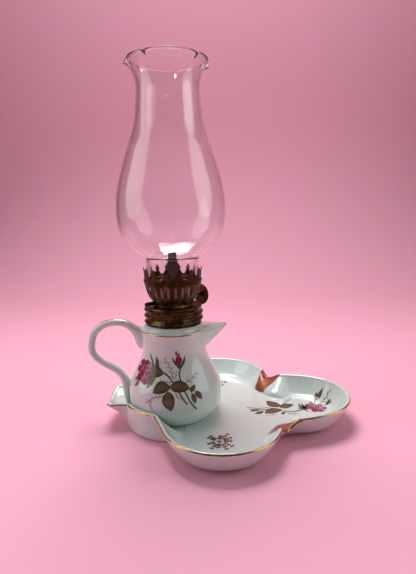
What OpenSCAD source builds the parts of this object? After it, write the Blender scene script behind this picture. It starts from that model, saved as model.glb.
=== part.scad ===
// Miniature oil lamp: a porcelain jug font standing in a lobed tray,
// with a brass screw burner and a pinched-rim glass chimney.
// Millimetres, +Z up. The tray stands on z = 0 and its long axis lies along X.
// Every module below is drawn about the lamp's upright axis; lamp_x moves the
// whole object so that the origin is under the centre of its outline.

/* [Tray] */
// Height of the rim of the two side lobes
rim_h = 16; // [13:0.5:20]
// Height of the rim of the end lobe and of the part behind the jug
high_rim_h = 17; // [14:0.5:21]
// Height of the tray's inside floor
floor_h = 5; // [4:0.5:7]
// Radius of the two side lobes
side_lobe_r = 33; // [31:0.5:35]
// Side lobes: distance from the lamp's axis along the tray
side_lobe_x = 27.5; // [26:0.5:29]
// Side lobes: distance from the tray's centre line
side_lobe_y = 36.8; // [36:0.2:38]
// Radius of the end lobe
end_lobe_r = 32.2; // [31:0.2:34]
// End lobe: distance from the lamp's axis along the tray
end_lobe_x = 75.6; // [74:0.2:78]
// How far the lobes lean out between the foot and the rim
flare = 10.5; // [9:0.5:12]
// How deep the rests between the lobes dip
rest_dip = 4; // [3:0.5:6]
// Thickness of the rim
rim_t = 2.6; // [2:0.2:3]

/* [Jug] */
// Height of the jug's deck at its edge
deck_h = 60; // [58:0.5:62]
// Radius of the deck
deck_r = 20.4; // [20:0.1:21]
// Largest radius of the belly
belly_r = 28.4; // [27:0.1:28.4]
// Distance from the lamp's axis to the tip of the spout
spout_reach = 32.6; // [29:0.2:36]
// Thickness of the porcelain
jug_wall = 2.6; // [2:0.2:3]
// Distance from the lamp's axis to the back of the handle
handle_reach = 53; // [50:0.5:56]

/* [Burner] */
// Height of the bottom of the threaded collar
collar_z = 61.8; // [61.8:0.1:62]
// Radius of the collar over its thread ridges
collar_r = 17.7; // [17.4:0.1:18]
// Distance from one thread ridge to the next
thread_pitch = 3.7; // [3:0.1:3.7]
// Number of air slots in the basket
slot_count = 24; // [16:2:28]
// Number of prongs on the crown
prong_count = 14; // [10:1:16]
// Height of the tips of the prongs
prong_top_z = 96.6; // [96:0.2:98]
// Direction of the knob, seen from above
knob_azimuth = 45; // [0:5:90]
// Radius of the knob
knob_r = 6.75; // [5.5:0.25:7]

/* [Wick] */
// Height of the top of the wick tube
tube_top_z = 100; // [98:0.5:102]
// Height of the top of the wick
wick_top_z = 105.8; // [101:0.2:112]
// Width of the wick
wick_w = 6; // [5:0.1:6.2]

/* [Chimney] */
// Height of the rim of the chimney
chimney_top_z = 211; // [206:1:216]
// Largest radius of the bulb
bulb_r = 31.6; // [30:0.2:33]
// Radius of the foot that stands in the crown
fitter_r = 15.8; // [15.4:0.1:15.9]
// Thickness of the glass
glass_t = 1.6; // [1.2:0.1:2]

/* [Hidden] */

// The handle and the end lobe are the two ends of the object.
lamp_x = (handle_reach - end_lobe_x - end_lobe_r) / 2;
$fn = 64;

// ---- Tray, seen from above about the lamp's axis
foot_h = 1.2;
foot_w = 2.4;
foot_inset = 0.8;
back_r = 31.7;          // outside of the rim behind the jug
back_foot_r = 30.2;     // outside of the foot behind the jug
back_floor_r = 28.7;    // inside of the wall behind the jug
side_rest_a = 15;       // side lobe: where its rim reaches the rest
side_end_a = 190.2;     // side lobe: where its rim meets the back wall
side_foot_a = 198.9;    // the same on the foot
side_floor_a = 205.6;   // the same on the floor
side_bulge = 5.3;       // the rim swings out by this on its way to the back wall
end_rest_a = 94;        // end lobe: where its rim reaches the rest
end_bulge = 1.8;
back_start_a = 108.8;   // back wall: from the side lobe to the waist
back_end_a = 150.7;
back_foot_start_a = 78;
back_floor_start_a = 73.6;
rest_bow = 2.3;         // the rests curve in by this, seen from above
rest_foot_bow = 6;
rest_floor_bow = 11;    // the ridge inside a rest reaches in over the floor by this
lip_low_z = 13.6;       // the lip's end dips to this height in the middle
lip_path = [[-27.6, 15.5], [-33, 15.3], [-38, 15.9], [-40.5, 13.6], [-41.6, 8], [-41.9, 0]];

// ---- Jug: radius and height of its outline
jug_outline = [
    [20, floor_h], [24.3, 8], [27.5, 13], [belly_r - 0.1, 18], [belly_r, 22.5],
    [27.6, 27], [25.5, 31.6], [22.8, 37], [20.6, 42], [19.5, 47.5], [19.5, 54],
    [deck_r - 0.4, 58.6], [deck_r, 59.4]
];
spout_low_z = 47.5;
spout_rise = 1.8;
neck_outer_r = 14.5;
neck_hole_r = 12;
neck_top_z = 64.4;
jug_floor_z = 8;

// ---- Jug handle: x, height, half depth and half width of its sections
handle_back_x = 2.25 - handle_reach;
handle_path = [
    [-20.1, 54.7, 4.8, 2.9], [-23.7, 58.2, 3.3, 2.5], [-27.6, 61.3, 2.4, 2.3],
    [-32, 62.7, 2.2, 2.2], [-36.3, 62.9, 2.15, 2.2], [-40.6, 62.2, 2.15, 2.2],
    [-45.1, 59.9, 2.15, 2.2], [-48.9, 55.8, 2.15, 2.2], [handle_back_x, 49.5, 2.15, 2.2],
    [-50.5, 44.4, 2.15, 2.2], [-48, 40.6, 2.15, 2.2], [-43.9, 37.4, 2.15, 2.2],
    [-39.2, 34.8, 2.2, 2.3], [-35.3, 32, 2.3, 2.4], [-32.6, 28.3, 2.4, 2.6],
    [-31.6, 23, 2.5, 2.9], [-31.2, 17, 2.3, 3], [-31, 12.5, 2.0, 3]
];

// ---- Burner heights, from the collar up
collar_top_z = 73.8;
collar_bore_r = 15.6;
shell_r = 15.53;
shell_bottom_z = 65.2;
plate_z = 73.1;
plate_t = 0.7;
neck_z = plate_z + plate_t;
basket_z = 78;
crown_z = 88.4;
ledge_z = 89;
slot_low_z = 79.2;
slot_high_z = 86.3;
sheet = 0.5;

// ---- Wick raiser
tube_wall = 0.35;
wick_t = 2.2;
tube_w = wick_w + 1;
tube_t = wick_t + 1.1;
shaft_z = 76;
shaft_r = 0.7;
shaft_offset = 3.2;
sleeve_r = 1.1;
running_gap = 0.06;
wheel_r = 2;
knob_s = 25.4;          // inside face of the knob, along the shaft
knob_t = 1.2;
sleeve_end_s = 18;

// ---- Chimney: radius and height of its outline
chimney_outline = [
    [fitter_r - 0.2, ledge_z], [fitter_r - 0.1, 99.4], [fitter_r + 0.2, 102.3],
    [18.8, 104.3], [24.7, 109], [28.1, 113.7], [30.2, 118.3], [31.2, 123],
    [bulb_r, 129], [31.1, 137], [29.8, 144.6], [27, 154.7], [24.3, 163.4],
    [21, 172], [19.2, 179.5], [18.6, 186], [18, 192.5], [18, 198.5],
    [19.5, 204], [21.5, 208.2], [22.5, chimney_top_z - 0.6]
];
crimp_angles = [-116, -44, 18, 82, 142, 186];
crimp_w = 5;            // half width of a pinch, in degrees
crimp_drop = 1.2;
crimp_out = 1.5;

// ---- Curves and skins

// One point on a smooth curve between b and c.
function spline_point(a, b, c, d, t) =
    0.5 * (2 * b + (c - a) * t + (2 * a - 5 * b + 4 * c - d) * t * t
    + (3 * b - a - 3 * c + d) * t * t * t);

// A smooth curve through the points, with a number of steps between them.
function smooth(points, steps) = concat(
    [for (i = [0:len(points) - 2], k = [0:steps - 1])
        spline_point(points[max(i - 1, 0)], points[i], points[i + 1],
            points[min(i + 2, len(points) - 1)], k / steps)],
    [points[len(points) - 1]]);

function unit(v) = v / norm(v);
function polar(r, a) = [r * cos(a), r * sin(a)];
function mix(a, b, t) = a + (b - a) * t;

// A closed solid through loops of equal length, each counter-clockwise. A tube's
// last loop joins its first; any other solid has a cap at each end.
module skin(loops, tube = false) {
    n = len(loops[0]);
    count = len(loops);
    points = [for (loop = loops) each loop];
    sides = [for (i = [0:count - (tube ? 1 : 2)], j = [0:n - 1])
        let (a = i * n + j, b = i * n + (j + 1) % n, up = i == count - 1 ? -i * n : n)
        each [[a, a + up, b + up], [a, b + up, b]]];
    caps = [[for (j = [0:n - 1]) j], [for (j = [n - 1:-1:0]) (count - 1) * n + j]];
    polyhedron(points, tube ? sides : concat(caps, sides), convexity = 10);
}

// ---- Tray
// Each station around the rim is [rim x y, rim z, foot x y, floor x y, inward,
// rim thickness, outer curve, inner curve].

end_centre = [end_lobe_x, 0];
side_centre = [side_lobe_x, side_lobe_y];

function end_rim(a) = end_centre
    + polar(end_lobe_r + end_bulge * pow(max(a - 60, 0) / (end_rest_a - 60), 2), a);
function side_rim(a) = side_centre
    + polar(side_lobe_r + side_bulge * pow(max(a - 160, 0) / (side_end_a - 160), 2), a);

end_stations = [for (i = [0:12]) let (a = end_rest_a * i / 12)
    [end_rim(a), high_rim_h + (rim_h - high_rim_h) * pow(i / 12, 2),
     end_centre + polar(end_lobe_r - flare, a),
     end_centre + polar(end_lobe_r - flare - 1, a),
     -polar(1, a), rim_t, 1.6, 1.8]];

rest_stations = [for (i = [1:8])
    let (t = i / 9, bow = sin(180 * t), away = -polar(1, 45), reach = pow(bow, 0.6),
        foot = mix(end_centre + polar(end_lobe_r - flare, end_rest_a),
            side_centre + polar(side_lobe_r - flare, side_rest_a), t),
        floor = mix(end_centre + polar(end_lobe_r - flare - 1, end_rest_a),
            side_centre + polar(side_lobe_r - flare - 1, side_rest_a), t))
    [mix(end_rim(end_rest_a), side_rim(side_rest_a), t) + rest_bow * bow * away,
     rim_h - rest_dip * pow(sin(180 * pow(t, 1.25)), 2),
     foot + rest_foot_bow * bow * away, floor - rest_floor_bow * reach * [-0.05, 1],
     unit(mix(-polar(1, end_rest_a), -polar(1, side_rest_a), t)), rim_t,
     mix(1.6, 0.9, bow), mix(1.8, 0.4, reach)]];

side_stations = [for (i = [0:22])
    let (t = i / 22, a = mix(side_rest_a, side_end_a, t), k = pow(t, 8))
    [side_rim(a), rim_h + (high_rim_h - rim_h) * pow(t, 6),
     side_centre + polar(side_lobe_r - flare, mix(side_rest_a, side_foot_a, t)),
     side_centre + polar(side_lobe_r - flare - 1, mix(side_rest_a, side_floor_a, t)),
     unit(mix(-polar(1, a), -polar(1, back_start_a), k * 0.5)), rim_t,
     mix(1.6, 1.2, k), mix(1.8, 1.6, k)]];

back_stations = [for (i = [1:8])
    let (t = i / 8, a = mix(back_start_a, back_end_a, t))
    [polar(back_r, a), high_rim_h,
     polar(back_foot_r, mix(back_foot_start_a, back_end_a, t)),
     polar(back_floor_r, mix(back_floor_start_a, back_end_a, t)),
     -polar(1, a), rim_t, 1.1, mix(1.6, 1, pow(t, 3))]];

lip_points = smooth(lip_path, 3);
lip_stations = [for (i = [1:len(lip_points) - 1])
    let (t = i / (len(lip_points) - 1), p = lip_points[i],
        a = mix(back_end_a, 180, t), k = min(1, t * 4))
    [p, lip_low_z + (high_rim_h - lip_low_z) * min(1, pow(p[1] / 14, 2)),
     polar(back_foot_r, a), polar(back_floor_r, a),
     unit(mix(-polar(1, back_end_a), unit(polar(back_floor_r, a) - p), k)),
     mix(rim_t, 3.4, k), mix(1, 0.65, k), mix(0.9, 0.42, k)]];

half_stations = concat(end_stations, rest_stations, side_stations, back_stations, lip_stations);
function mirrored(s) = [[s[0][0], -s[0][1]], s[1], [s[2][0], -s[2][1]], [s[3][0], -s[3][1]],
    [s[4][0], -s[4][1]], s[5], s[6], s[7]];
stations = concat(half_stations,
    [for (i = [len(half_stations) - 2:-1:1]) mirrored(half_stations[i])]);

function high(p, z) = [p[0], p[1], z];
// Distance in from the rim line, and drop below it, across the rounded rim.
rim_round = [[0, 1.2], [0.18, 0.35], [0.5, 0], [0.82, 0.3], [1, 1]];
function foot_loop(inset, z) = [for (s = stations) high(s[2] + inset * s[4], z)];
function outer_loop(u) = [for (s = stations)
    high(mix(s[2], s[0], u), foot_h + (s[1] - rim_round[0][1] - foot_h) * pow(u, s[6]))];
function rim_loop(r) = [for (s = stations) high(s[0] + s[4] * s[5] * r[0], s[1] - r[1])];
function inner_loop(v) = [for (s = stations)
    high(mix(s[3], s[0] + s[4] * s[5], v),
        floor_h + (s[1] - rim_round[4][1] - floor_h) * pow(v, s[7]))];

module tray() {
    color("whitesmoke") skin(concat(
        [foot_loop(foot_w + foot_inset + 0.8, foot_h)],
        [foot_loop(foot_w + foot_inset, 0), foot_loop(foot_inset, 0)],
        [for (u = [0, 0.15, 0.35, 0.55, 0.75, 0.9]) outer_loop(u)],
        [for (r = rim_round) rim_loop(r)],
        [for (v = [0.9, 0.75, 0.6, 0.45, 0.3, 0.15, 0]) inner_loop(v)]));
}

// ---- Jug

// Seen from above, a circle drawn out to a point by two straight tangents.
function teardrop(r, reach, a) = let (b = a > 180 ? 360 - a : a, c = acos(min(1, r / reach)))
    b < c ? r / cos(c - b) : r;
jug_steps = 72;
jug_angles = [for (j = [0:jug_steps - 1]) j * 360 / jug_steps];

function spout_at(z) = max(0, (z - spout_low_z) / (deck_h - spout_low_z));
function jug_loop(r, z) = [for (a = jug_angles)
    let (reach = r + (spout_reach - deck_r) * spout_at(z),
        d = teardrop(r, max(r, reach), a), lift = spout_rise * (d - r) / (spout_reach - deck_r))
    high(polar(d, a), z + lift * pow(spout_at(z), 3))];
function ring_loop(r, z) = [for (a = jug_angles) high(polar(r, a), z)];

module pitcher() {
    outside = smooth(jug_outline, 2);
    inside = [for (p = jug_outline) if (p[1] > jug_floor_z + 1 && p[1] < deck_h - 5) p];
    color("whitesmoke") skin(concat(
        [for (p = outside) jug_loop(p[0], p[1])],
        [jug_loop(deck_r - 0.5, deck_h), jug_loop(deck_r - 1.8, deck_h + 0.3)],
        [ring_loop(18.4, collar_z), ring_loop(neck_outer_r, collar_z)],
        [ring_loop(neck_outer_r, neck_top_z), ring_loop(neck_hole_r, neck_top_z)],
        [ring_loop(neck_hole_r, deck_h - 2), ring_loop(16.5, deck_h - 3.5)],
        [for (i = [len(inside) - 1:-1:0]) ring_loop(inside[i][0] - jug_wall, inside[i][1])],
        [ring_loop(21, jug_floor_z + 0.8), ring_loop(18, jug_floor_z)]));
}

module pitcher_handle() {
    sides = 14;
    path = smooth(handle_path, 2);
    last = len(path) - 1;
    color("whitesmoke") skin([for (i = [0:last])
        let (p = path[i], ahead = path[min(i + 1, last)] - path[max(i - 1, 0)],
            along = i == 0 ? unit([-1, -0.09]) : i == 1 ? unit([-1, 0.2])
                : i == last ? [0, -1] : unit([ahead[0], ahead[1]]),
            across = [-along[1], along[0]])
        [for (k = [0:sides - 1]) let (a = -360 * k / sides)
            [p[0] + across[0] * p[2] * cos(a), p[3] * sin(a), p[1] + across[1] * p[2] * cos(a)]]]);
}

// ---- Collar and the burner's threaded shell

module revolve(outline) {
    rotate_extrude() polygon(outline);
}

module collar_cement() {
    color("gainsboro")
        revolve([[neck_outer_r + 0.05, collar_z], [collar_bore_r - 0.05, collar_z],
            [collar_bore_r - 0.05, neck_top_z - 0.2], [neck_outer_r + 0.05, neck_top_z - 0.2]]);
}

module collar() {
    ridge_r = 1.25;
    color("saddlebrown") rotate_extrude() union() {
        translate([collar_bore_r, collar_z]) square([1.1, collar_top_z - collar_z]);
        intersection() {
            translate([collar_bore_r, collar_z]) square([5, collar_top_z - collar_z]);
            for (i = [0:2]) translate([collar_r - ridge_r, collar_z + 2.3 + i * thread_pitch])
                circle(ridge_r);
        }
    }
}

module burner_shell() {
    color("peru") revolve([[shell_r - sheet, shell_bottom_z], [shell_r, shell_bottom_z],
        [shell_r, plate_z], [shell_r - sheet, plate_z]]);
}

// ---- Flat shapes along the shaft: the wick and its tube are wide along s.

module along_shaft() {
    rotate([0, 0, knob_azimuth]) children();
}

module slot_shape(w, t) {
    square([w - t, t], center = true);
    for (side = [-1, 1]) translate([side * (w - t) / 2, 0]) circle(t / 2);
}

module shaft_rod(r, from, to) {
    along_shaft() translate([from, shaft_offset, shaft_z]) rotate([0, 90, 0])
        cylinder(r = r, h = to - from);
}

module base_plate() {
    color("peru") difference() {
        translate([0, 0, plate_z]) cylinder(r = shell_r - 0.03, h = plate_t);
        along_shaft() translate([0, 0, plate_z - 1]) linear_extrude(3)
            slot_shape(tube_w + 0.04, tube_t + 0.04);
    }
}

module neck_ring() {
    low_r = 12;
    high_r = 13.3;
    color("darkgoldenrod") difference() {
        revolve([[low_r - sheet, neck_z], [low_r, neck_z], [high_r, basket_z],
            [high_r - sheet, basket_z]]);
        shaft_rod(sleeve_r + 0.03, -20, 20);
    }
}

module basket() {
    foot_r = 13.9;
    top_r = 17;
    outside = [[foot_r, basket_z], [14.9, 80.2], [15.8, 82.7], [16.5, 85.4], [top_r, crown_z]];
    inside = [for (i = [len(outside) - 1:-1:0]) outside[i] - [sheet + 0.1, i == 0 ? -sheet : 0]];
    color("saddlebrown") difference() {
        revolve(concat(outside, inside, [[12.9, basket_z + sheet], [12.9, basket_z]]));
        for (i = [0:slot_count - 1]) rotate([0, 0, (i + 0.65) * 360 / slot_count])
            translate([13.4, -0.75, slot_low_z]) cube([6, 1.5, slot_high_z - slot_low_z]);
    }
}

module air_distributor() {
    cup_r = 12.8;
    floor_z = basket_z + 0.9;
    color("darkseagreen") difference() {
        revolve([[3.9, floor_z], [cup_r - sheet, floor_z], [cup_r - sheet, basket_z + 0.1],
            [cup_r, basket_z + 0.1], [cup_r, 87.6], [cup_r - sheet, 87.6],
            [cup_r - sheet, floor_z + sheet], [3.9, floor_z + sheet]]);
        for (i = [0:11]) rotate([0, 0, i * 30]) translate([8.5, 0, floor_z - 1])
            cylinder(r = 1.1, h = 3);
    }
}

// Half the width of a prong at each height, from its root to its tip.
prong_widths = [[2.3, 91.4], [1.9, 92.3], [1.25, 93.2], [1.75, 93.9], [1.15, 95.2],
    [0.5, prong_top_z - 0.1]];

// The gap between two prongs, seen from outside: across and up.
module prong_gap() {
    half = PI * 17.2 / prong_count;
    last = len(prong_widths) - 1;
    polygon(concat([[0, 90.7]], [for (p = prong_widths) [half - p[0], p[1]]],
        [[half, prong_top_z + 0.3], [half, prong_top_z + 1], [-half, prong_top_z + 1],
            [-half, prong_top_z + 0.3]],
        [for (i = [last:-1:0]) [prong_widths[i][0] - half, prong_widths[i][1]]]));
}

module crown() {
    bead_r = 0.55;
    crown_turn = 8.4;
    color("saddlebrown") difference() {
        rotate_extrude() union() {
            polygon([[13.4, crown_z], [17, crown_z], [17, ledge_z], [16.9, 91],
                [17.6, prong_top_z], [17.1, prong_top_z], [16.4, 91], [16.4, ledge_z],
                [13.4, ledge_z]]);
            translate([16.95, crown_z + bead_r + 0.3]) circle(bead_r);
        }
        for (i = [0:prong_count - 1]) rotate([0, 0, i * 360 / prong_count - crown_turn])
            translate([14, 0, 0]) rotate([90, 0, 90]) linear_extrude(6) prong_gap();
    }
}

// ---- Wick, wick tube and raiser

module wick_tube() {
    color("darkolivegreen") difference() {
        along_shaft() translate([0, 0, 66]) linear_extrude(tube_top_z - 66) difference() {
            slot_shape(tube_w, tube_t);
            slot_shape(tube_w - 2 * tube_wall, tube_t - 2 * tube_wall);
        }
        along_shaft() translate([-2.5, 0.9, shaft_z - 2.5]) cube([5, 2, 5]);
    }
}

module wick() {
    wick_bottom_z = 15.5;
    color("black") along_shaft() translate([0, 0, wick_bottom_z])
        linear_extrude(wick_top_z - wick_bottom_z) slot_shape(wick_w, wick_t);
}

module wheel_housing() {
    half_w = 3.3;
    low_z = neck_z + 0.05;
    high_z = shaft_z + 2.3;
    color("peru") difference() {
        along_shaft() translate([-half_w, tube_t / 2 + 0.02, low_z])
            cube([2 * half_w, 4.1, high_z - low_z]);
        along_shaft() translate([-half_w + 0.4, 0, low_z - 1])
            cube([2 * half_w - 0.8, 5.4, 7]);
        shaft_rod(shaft_r + running_gap, -20, 20);
    }
}

module shaft_sleeves() {
    inner_end = 11;
    color("dimgray") difference() {
        union() {
            shaft_rod(sleeve_r, -sleeve_end_s, -inner_end);
            shaft_rod(sleeve_r, inner_end, sleeve_end_s);
        }
        shaft_rod(shaft_r + running_gap, -30, 30);
    }
}

module raiser_shaft() {
    head_r = 1.3;
    color("sienna") union() {
        shaft_rod(shaft_r, -sleeve_end_s - 0.6, knob_s + knob_t);
        shaft_rod(head_r, knob_s + knob_t, knob_s + knob_t + 0.6);
    }
}

module spur_wheels() {
    teeth = 10;
    color("goldenrod") for (s = [-1.7, 0.9]) along_shaft()
        translate([s, shaft_offset, shaft_z]) rotate([0, 90, 0]) linear_extrude(0.8)
            difference() {
                polygon([for (i = [0:2 * teeth - 1])
                    polar(i % 2 == 0 ? wheel_r : wheel_r - 0.6, i * 180 / teeth)]);
                circle(shaft_r);
            }
}

module knob() {
    rim = 0.9;
    hub_r = 1.7;
    color("saddlebrown") along_shaft() translate([knob_s, shaft_offset, shaft_z]) rotate([0, 90, 0])
        difference() {
            union() {
                cylinder(r = knob_r, h = knob_t);
                translate([0, 0, -1.2]) cylinder(r = hub_r, h = 1.3);
            }
            translate([0, 0, -0.01]) difference() {
                cylinder(r = knob_r - rim, h = 0.36);
                translate([0, 0, -1]) cylinder(r = hub_r, h = 3);
            }
            translate([0, 0, -2]) cylinder(r = shaft_r, h = 6);
        }
}

// ---- Chimney

chimney_steps = 72;
function turn_gap(a, b) = abs((a - b + 540) % 360 - 180);
// How strongly the rim is pinched in this direction: 1 in the middle of a pinch.
function pinch(a) = max([for (c = crimp_angles) exp(-pow(turn_gap(a, c) / crimp_w, 2))]);
function rim_share(z) = pow(max(0, (z - 200) / (chimney_top_z - 200)), 2);
function glass_loop(r, z) = [for (j = [0:chimney_steps - 1])
    let (a = j * 360 / chimney_steps, k = pinch(a) * rim_share(z))
    high(polar(r + crimp_out * k, a), z - crimp_drop * k)];

module chimney() {
    top = chimney_top_z;
    outside = smooth(chimney_outline, 1);
    inside = [for (i = [len(outside) - 2:-1:0]) outside[i]];
    color("lightblue", 0.4) skin(concat(
        [for (p = outside) glass_loop(p[0], p[1])],
        [glass_loop(22.8 - glass_t / 4, top), glass_loop(22.4 - glass_t * 0.8, top),
         glass_loop(22 - glass_t, top - 0.6)],
        [for (p = inside) glass_loop(p[0] - glass_t, p[1])]), tube = true);
}

// ---- The parts in their places

module placed() {
    translate([lamp_x, 0, 0]) children();
}

placed() tray();
placed() pitcher();
placed() pitcher_handle();
placed() collar_cement();
placed() collar();
placed() burner_shell();
placed() base_plate();
placed() neck_ring();
placed() basket();
placed() air_distributor();
placed() crown();
placed() wick_tube();
placed() wheel_housing();
placed() shaft_sleeves();
placed() raiser_shaft();
placed() spur_wheels();
placed() knob();
placed() wick();
placed() chimney();
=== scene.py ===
import math
import random

import bpy
import numpy as np
from mathutils import Matrix, Vector


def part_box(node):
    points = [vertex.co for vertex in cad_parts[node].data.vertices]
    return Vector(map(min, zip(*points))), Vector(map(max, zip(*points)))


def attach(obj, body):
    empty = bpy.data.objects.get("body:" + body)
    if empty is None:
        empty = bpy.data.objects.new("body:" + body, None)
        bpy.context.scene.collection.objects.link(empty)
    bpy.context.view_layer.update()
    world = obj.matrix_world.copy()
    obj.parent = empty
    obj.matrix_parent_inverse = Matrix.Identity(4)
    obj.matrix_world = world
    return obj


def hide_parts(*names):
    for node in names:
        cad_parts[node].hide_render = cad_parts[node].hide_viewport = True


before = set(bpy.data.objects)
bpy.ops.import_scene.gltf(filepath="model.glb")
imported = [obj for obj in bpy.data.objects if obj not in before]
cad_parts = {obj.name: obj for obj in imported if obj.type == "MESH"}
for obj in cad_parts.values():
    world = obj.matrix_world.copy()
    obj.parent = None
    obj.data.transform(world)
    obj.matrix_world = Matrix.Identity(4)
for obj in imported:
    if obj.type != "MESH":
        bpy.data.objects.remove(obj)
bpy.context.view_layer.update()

# Shapes are worked out in millimetres about the lamp's upright axis, then placed.
MM = 0.001
collar_low, collar_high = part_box("collar")
AXIS_X = (collar_low.x + collar_high.x) / 2
scene = bpy.context.scene


def place(points):
    """Points in millimetres about the lamp's axis, as metres in the frame."""
    return np.asarray(points, float) * MM + np.array([AXIS_X, 0, 0])


# ---- Camera, floor and light

CAMERA_AT = (-0.00575, -0.2633, 0.1309)
CAMERA_YAW = 0.16       # degrees, from looking along +Y towards -X
CAMERA_DOWN = 10.08
CAMERA_ROLL = -0.69
CAMERA_LENS = 28.02


def make_camera():
    data = bpy.data.cameras.new("camera")
    data.lens = CAMERA_LENS
    data.sensor_width = 36
    camera = bpy.data.objects.new("camera", data)
    turn = Matrix.Rotation(math.radians(CAMERA_YAW), 4, "Z")
    tilt = Matrix.Rotation(math.radians(90 - CAMERA_DOWN), 4, "X")
    roll = Matrix.Rotation(math.radians(CAMERA_ROLL), 4, "Z")
    camera.matrix_world = Matrix.Translation(CAMERA_AT) @ turn @ tilt @ roll
    scene.collection.objects.link(camera)
    scene.camera = camera


def make_floor():
    """A paper sweep: flat under the lamp, then curving up behind it."""
    half_width = 1.6
    front_y = -1.2
    bend_y = 0.34
    bend_r = 0.3
    top_z = 1.7
    arc = [math.radians(a) for a in range(0, 91, 6)]
    outline = [(front_y, 0.0)]
    outline += [(bend_y + bend_r * math.sin(a), bend_r * (1 - math.cos(a))) for a in arc]
    outline.append((bend_y + bend_r, top_z))
    points = [(x, y, z) for y, z in outline for x in (-half_width, half_width)]
    faces = [(2 * i, 2 * i + 1, 2 * i + 3, 2 * i + 2) for i in range(len(outline) - 1)]
    mesh = bpy.data.meshes.new("floor")
    mesh.from_pydata(points, [], faces)
    mesh.polygons.foreach_set("use_smooth", [True] * len(faces))
    mesh.materials.append(paper_material())
    floor = bpy.data.objects.new("floor", mesh)
    scene.collection.objects.link(floor)


def area_light(name, at, target, width, height, watts, spread, shape="ELLIPSE"):
    data = bpy.data.lights.new(name, "AREA")
    data.shape = shape
    data.size = width
    data.size_y = height
    data.energy = watts
    data.spread = math.radians(spread)
    light = bpy.data.objects.new(name, data)
    light.location = at
    light.rotation_euler = (Vector(target) - Vector(at)).to_track_quat("-Z", "Y").to_euler()
    scene.collection.objects.link(light)


def make_lights():
    middle = (0, 0, 0.08)
    area_light("overhead", (-0.1, 0.2, 0.72), (0.02, -0.06, 0), 0.42, 0.32, 2.35, 125,
               "RECTANGLE")
    area_light("left_panel", (-0.6, -0.1, 0.34), middle, 0.5, 0.72, 0.8, 130)
    area_light("right_panel", (0.6, -0.12, 0.34), middle, 0.5, 0.72, 0.8, 130)
    area_light("backdrop_wash", (0, 0.05, 1.0), (0, 0.64, 0.7), 0.9, 0.2, 1.8, 110)
    world = bpy.data.worlds.new("studio")
    world.use_nodes = True
    background = world.node_tree.nodes["Background"]
    background.inputs["Color"].default_value = (0.93, 1.0, 0.97, 1)
    background.inputs["Strength"].default_value = 0.1
    scene.world = world


# ---- Shader helpers

def node(tree, kind, inputs=None, **settings):
    """Adds a node. An input is a number, a colour or the output that feeds it."""
    made = tree.nodes.new(kind)
    for key, value in settings.items():
        setattr(made, key, value)
    for key, value in (inputs or {}).items():
        if isinstance(value, bpy.types.NodeSocket):
            tree.links.new(value, made.inputs[key])
        else:
            made.inputs[key].default_value = value
    return made


def maths(tree, operation, a, b=0.0, c=0.0, clamp=False):
    return node(tree, "ShaderNodeMath", {0: a, 1: b, 2: c}, operation=operation,
                use_clamp=clamp).outputs[0]


def blend_colour(tree, factor, a, b):
    return node(tree, "ShaderNodeMix", {0: factor, 6: a, 7: b}, data_type="RGBA").outputs[2]


def blend_value(tree, factor, a, b):
    return node(tree, "ShaderNodeMix", {0: factor, 2: a, 3: b}, data_type="FLOAT").outputs[0]


def ramp(tree, factor, stops):
    """A colour ramp through (position, colour) stops."""
    made = node(tree, "ShaderNodeValToRGB", {0: factor})
    band = made.color_ramp
    while len(band.elements) < len(stops):
        band.elements.new(1.0)
    for element, (position, colour) in zip(band.elements, stops):
        element.position = position
        element.color = rgba(colour)
    return made.outputs[0]


def rgba(colour):
    return (*colour[:3], 1.0)


def noise(tree, scale, detail=3.0, roughness=0.5, stretch=(1, 1, 1), distortion=0.0):
    """Noise over the object's own coordinates. The scale is in cycles per millimetre."""
    coords = node(tree, "ShaderNodeTexCoord").outputs["Object"]
    mapped = node(tree, "ShaderNodeMapping", {0: coords, 3: stretch}).outputs[0]
    return node(tree, "ShaderNodeTexNoise", {"Vector": mapped, "Scale": scale / MM,
                "Detail": detail, "Roughness": roughness, "Distortion": distortion}).outputs[0]


def attribute(tree, name):
    return node(tree, "ShaderNodeAttribute", attribute_name=name).outputs["Fac"]


def bump(tree, height, distance, strength=1.0, normal=None):
    inputs = {"Height": height, "Distance": distance * MM, "Strength": strength}
    if normal is not None:
        inputs["Normal"] = normal
    return node(tree, "ShaderNodeBump", inputs).outputs[0]


def new_material(name):
    material = bpy.data.materials.new(name)
    material.use_nodes = True
    tree = material.node_tree
    return material, tree, tree.nodes["Principled BSDF"]


def feed(tree, shader, **inputs):
    """Sets the Principled's inputs by name, with _ for a space."""
    for key, value in inputs.items():
        socket = shader.inputs[key.replace("_", " ")]
        if isinstance(value, bpy.types.NodeSocket):
            tree.links.new(value, socket)
        else:
            socket.default_value = value


def edge_mask(tree, distance, wander, softness=0.1):
    """1 where a distance in millimetres, made uneven by a noise, is above 0."""
    uneven = maths(tree, "ADD", distance, wander)
    return maths(tree, "MULTIPLY_ADD", uneven, 0.5 / softness, 0.5, clamp=True)


# ---- Materials

def paper_material():
    material, tree, shader = new_material("pink_paper")
    grain = noise(tree, 0.6, 2)
    colour = blend_colour(tree, grain, (0.9, 0.435, 0.56, 1), (0.93, 0.455, 0.585, 1))
    feed(tree, shader, Base_Color=colour, Roughness=0.9)
    feed(tree, shader, Specular_IOR_Level=0.1)
    return material


GLAZE = (0.62, 0.715, 0.68)
GLAZE_WARM = (0.67, 0.71, 0.675)
GOLD = (0.80, 0.46, 0.13)
GOLD_WORN = (0.42, 0.22, 0.08)
COPPER = (0.28, 0.078, 0.034)
COPPER_DARK = (0.17, 0.045, 0.021)
COPPER_LIGHT = (0.40, 0.135, 0.055)
BARE_CLAY = (0.72, 0.69, 0.62)
BARE_FOOT_Z = 0.35      # the foot ring is unglazed below this height
LUSTRE_METAL = 0.5


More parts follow.
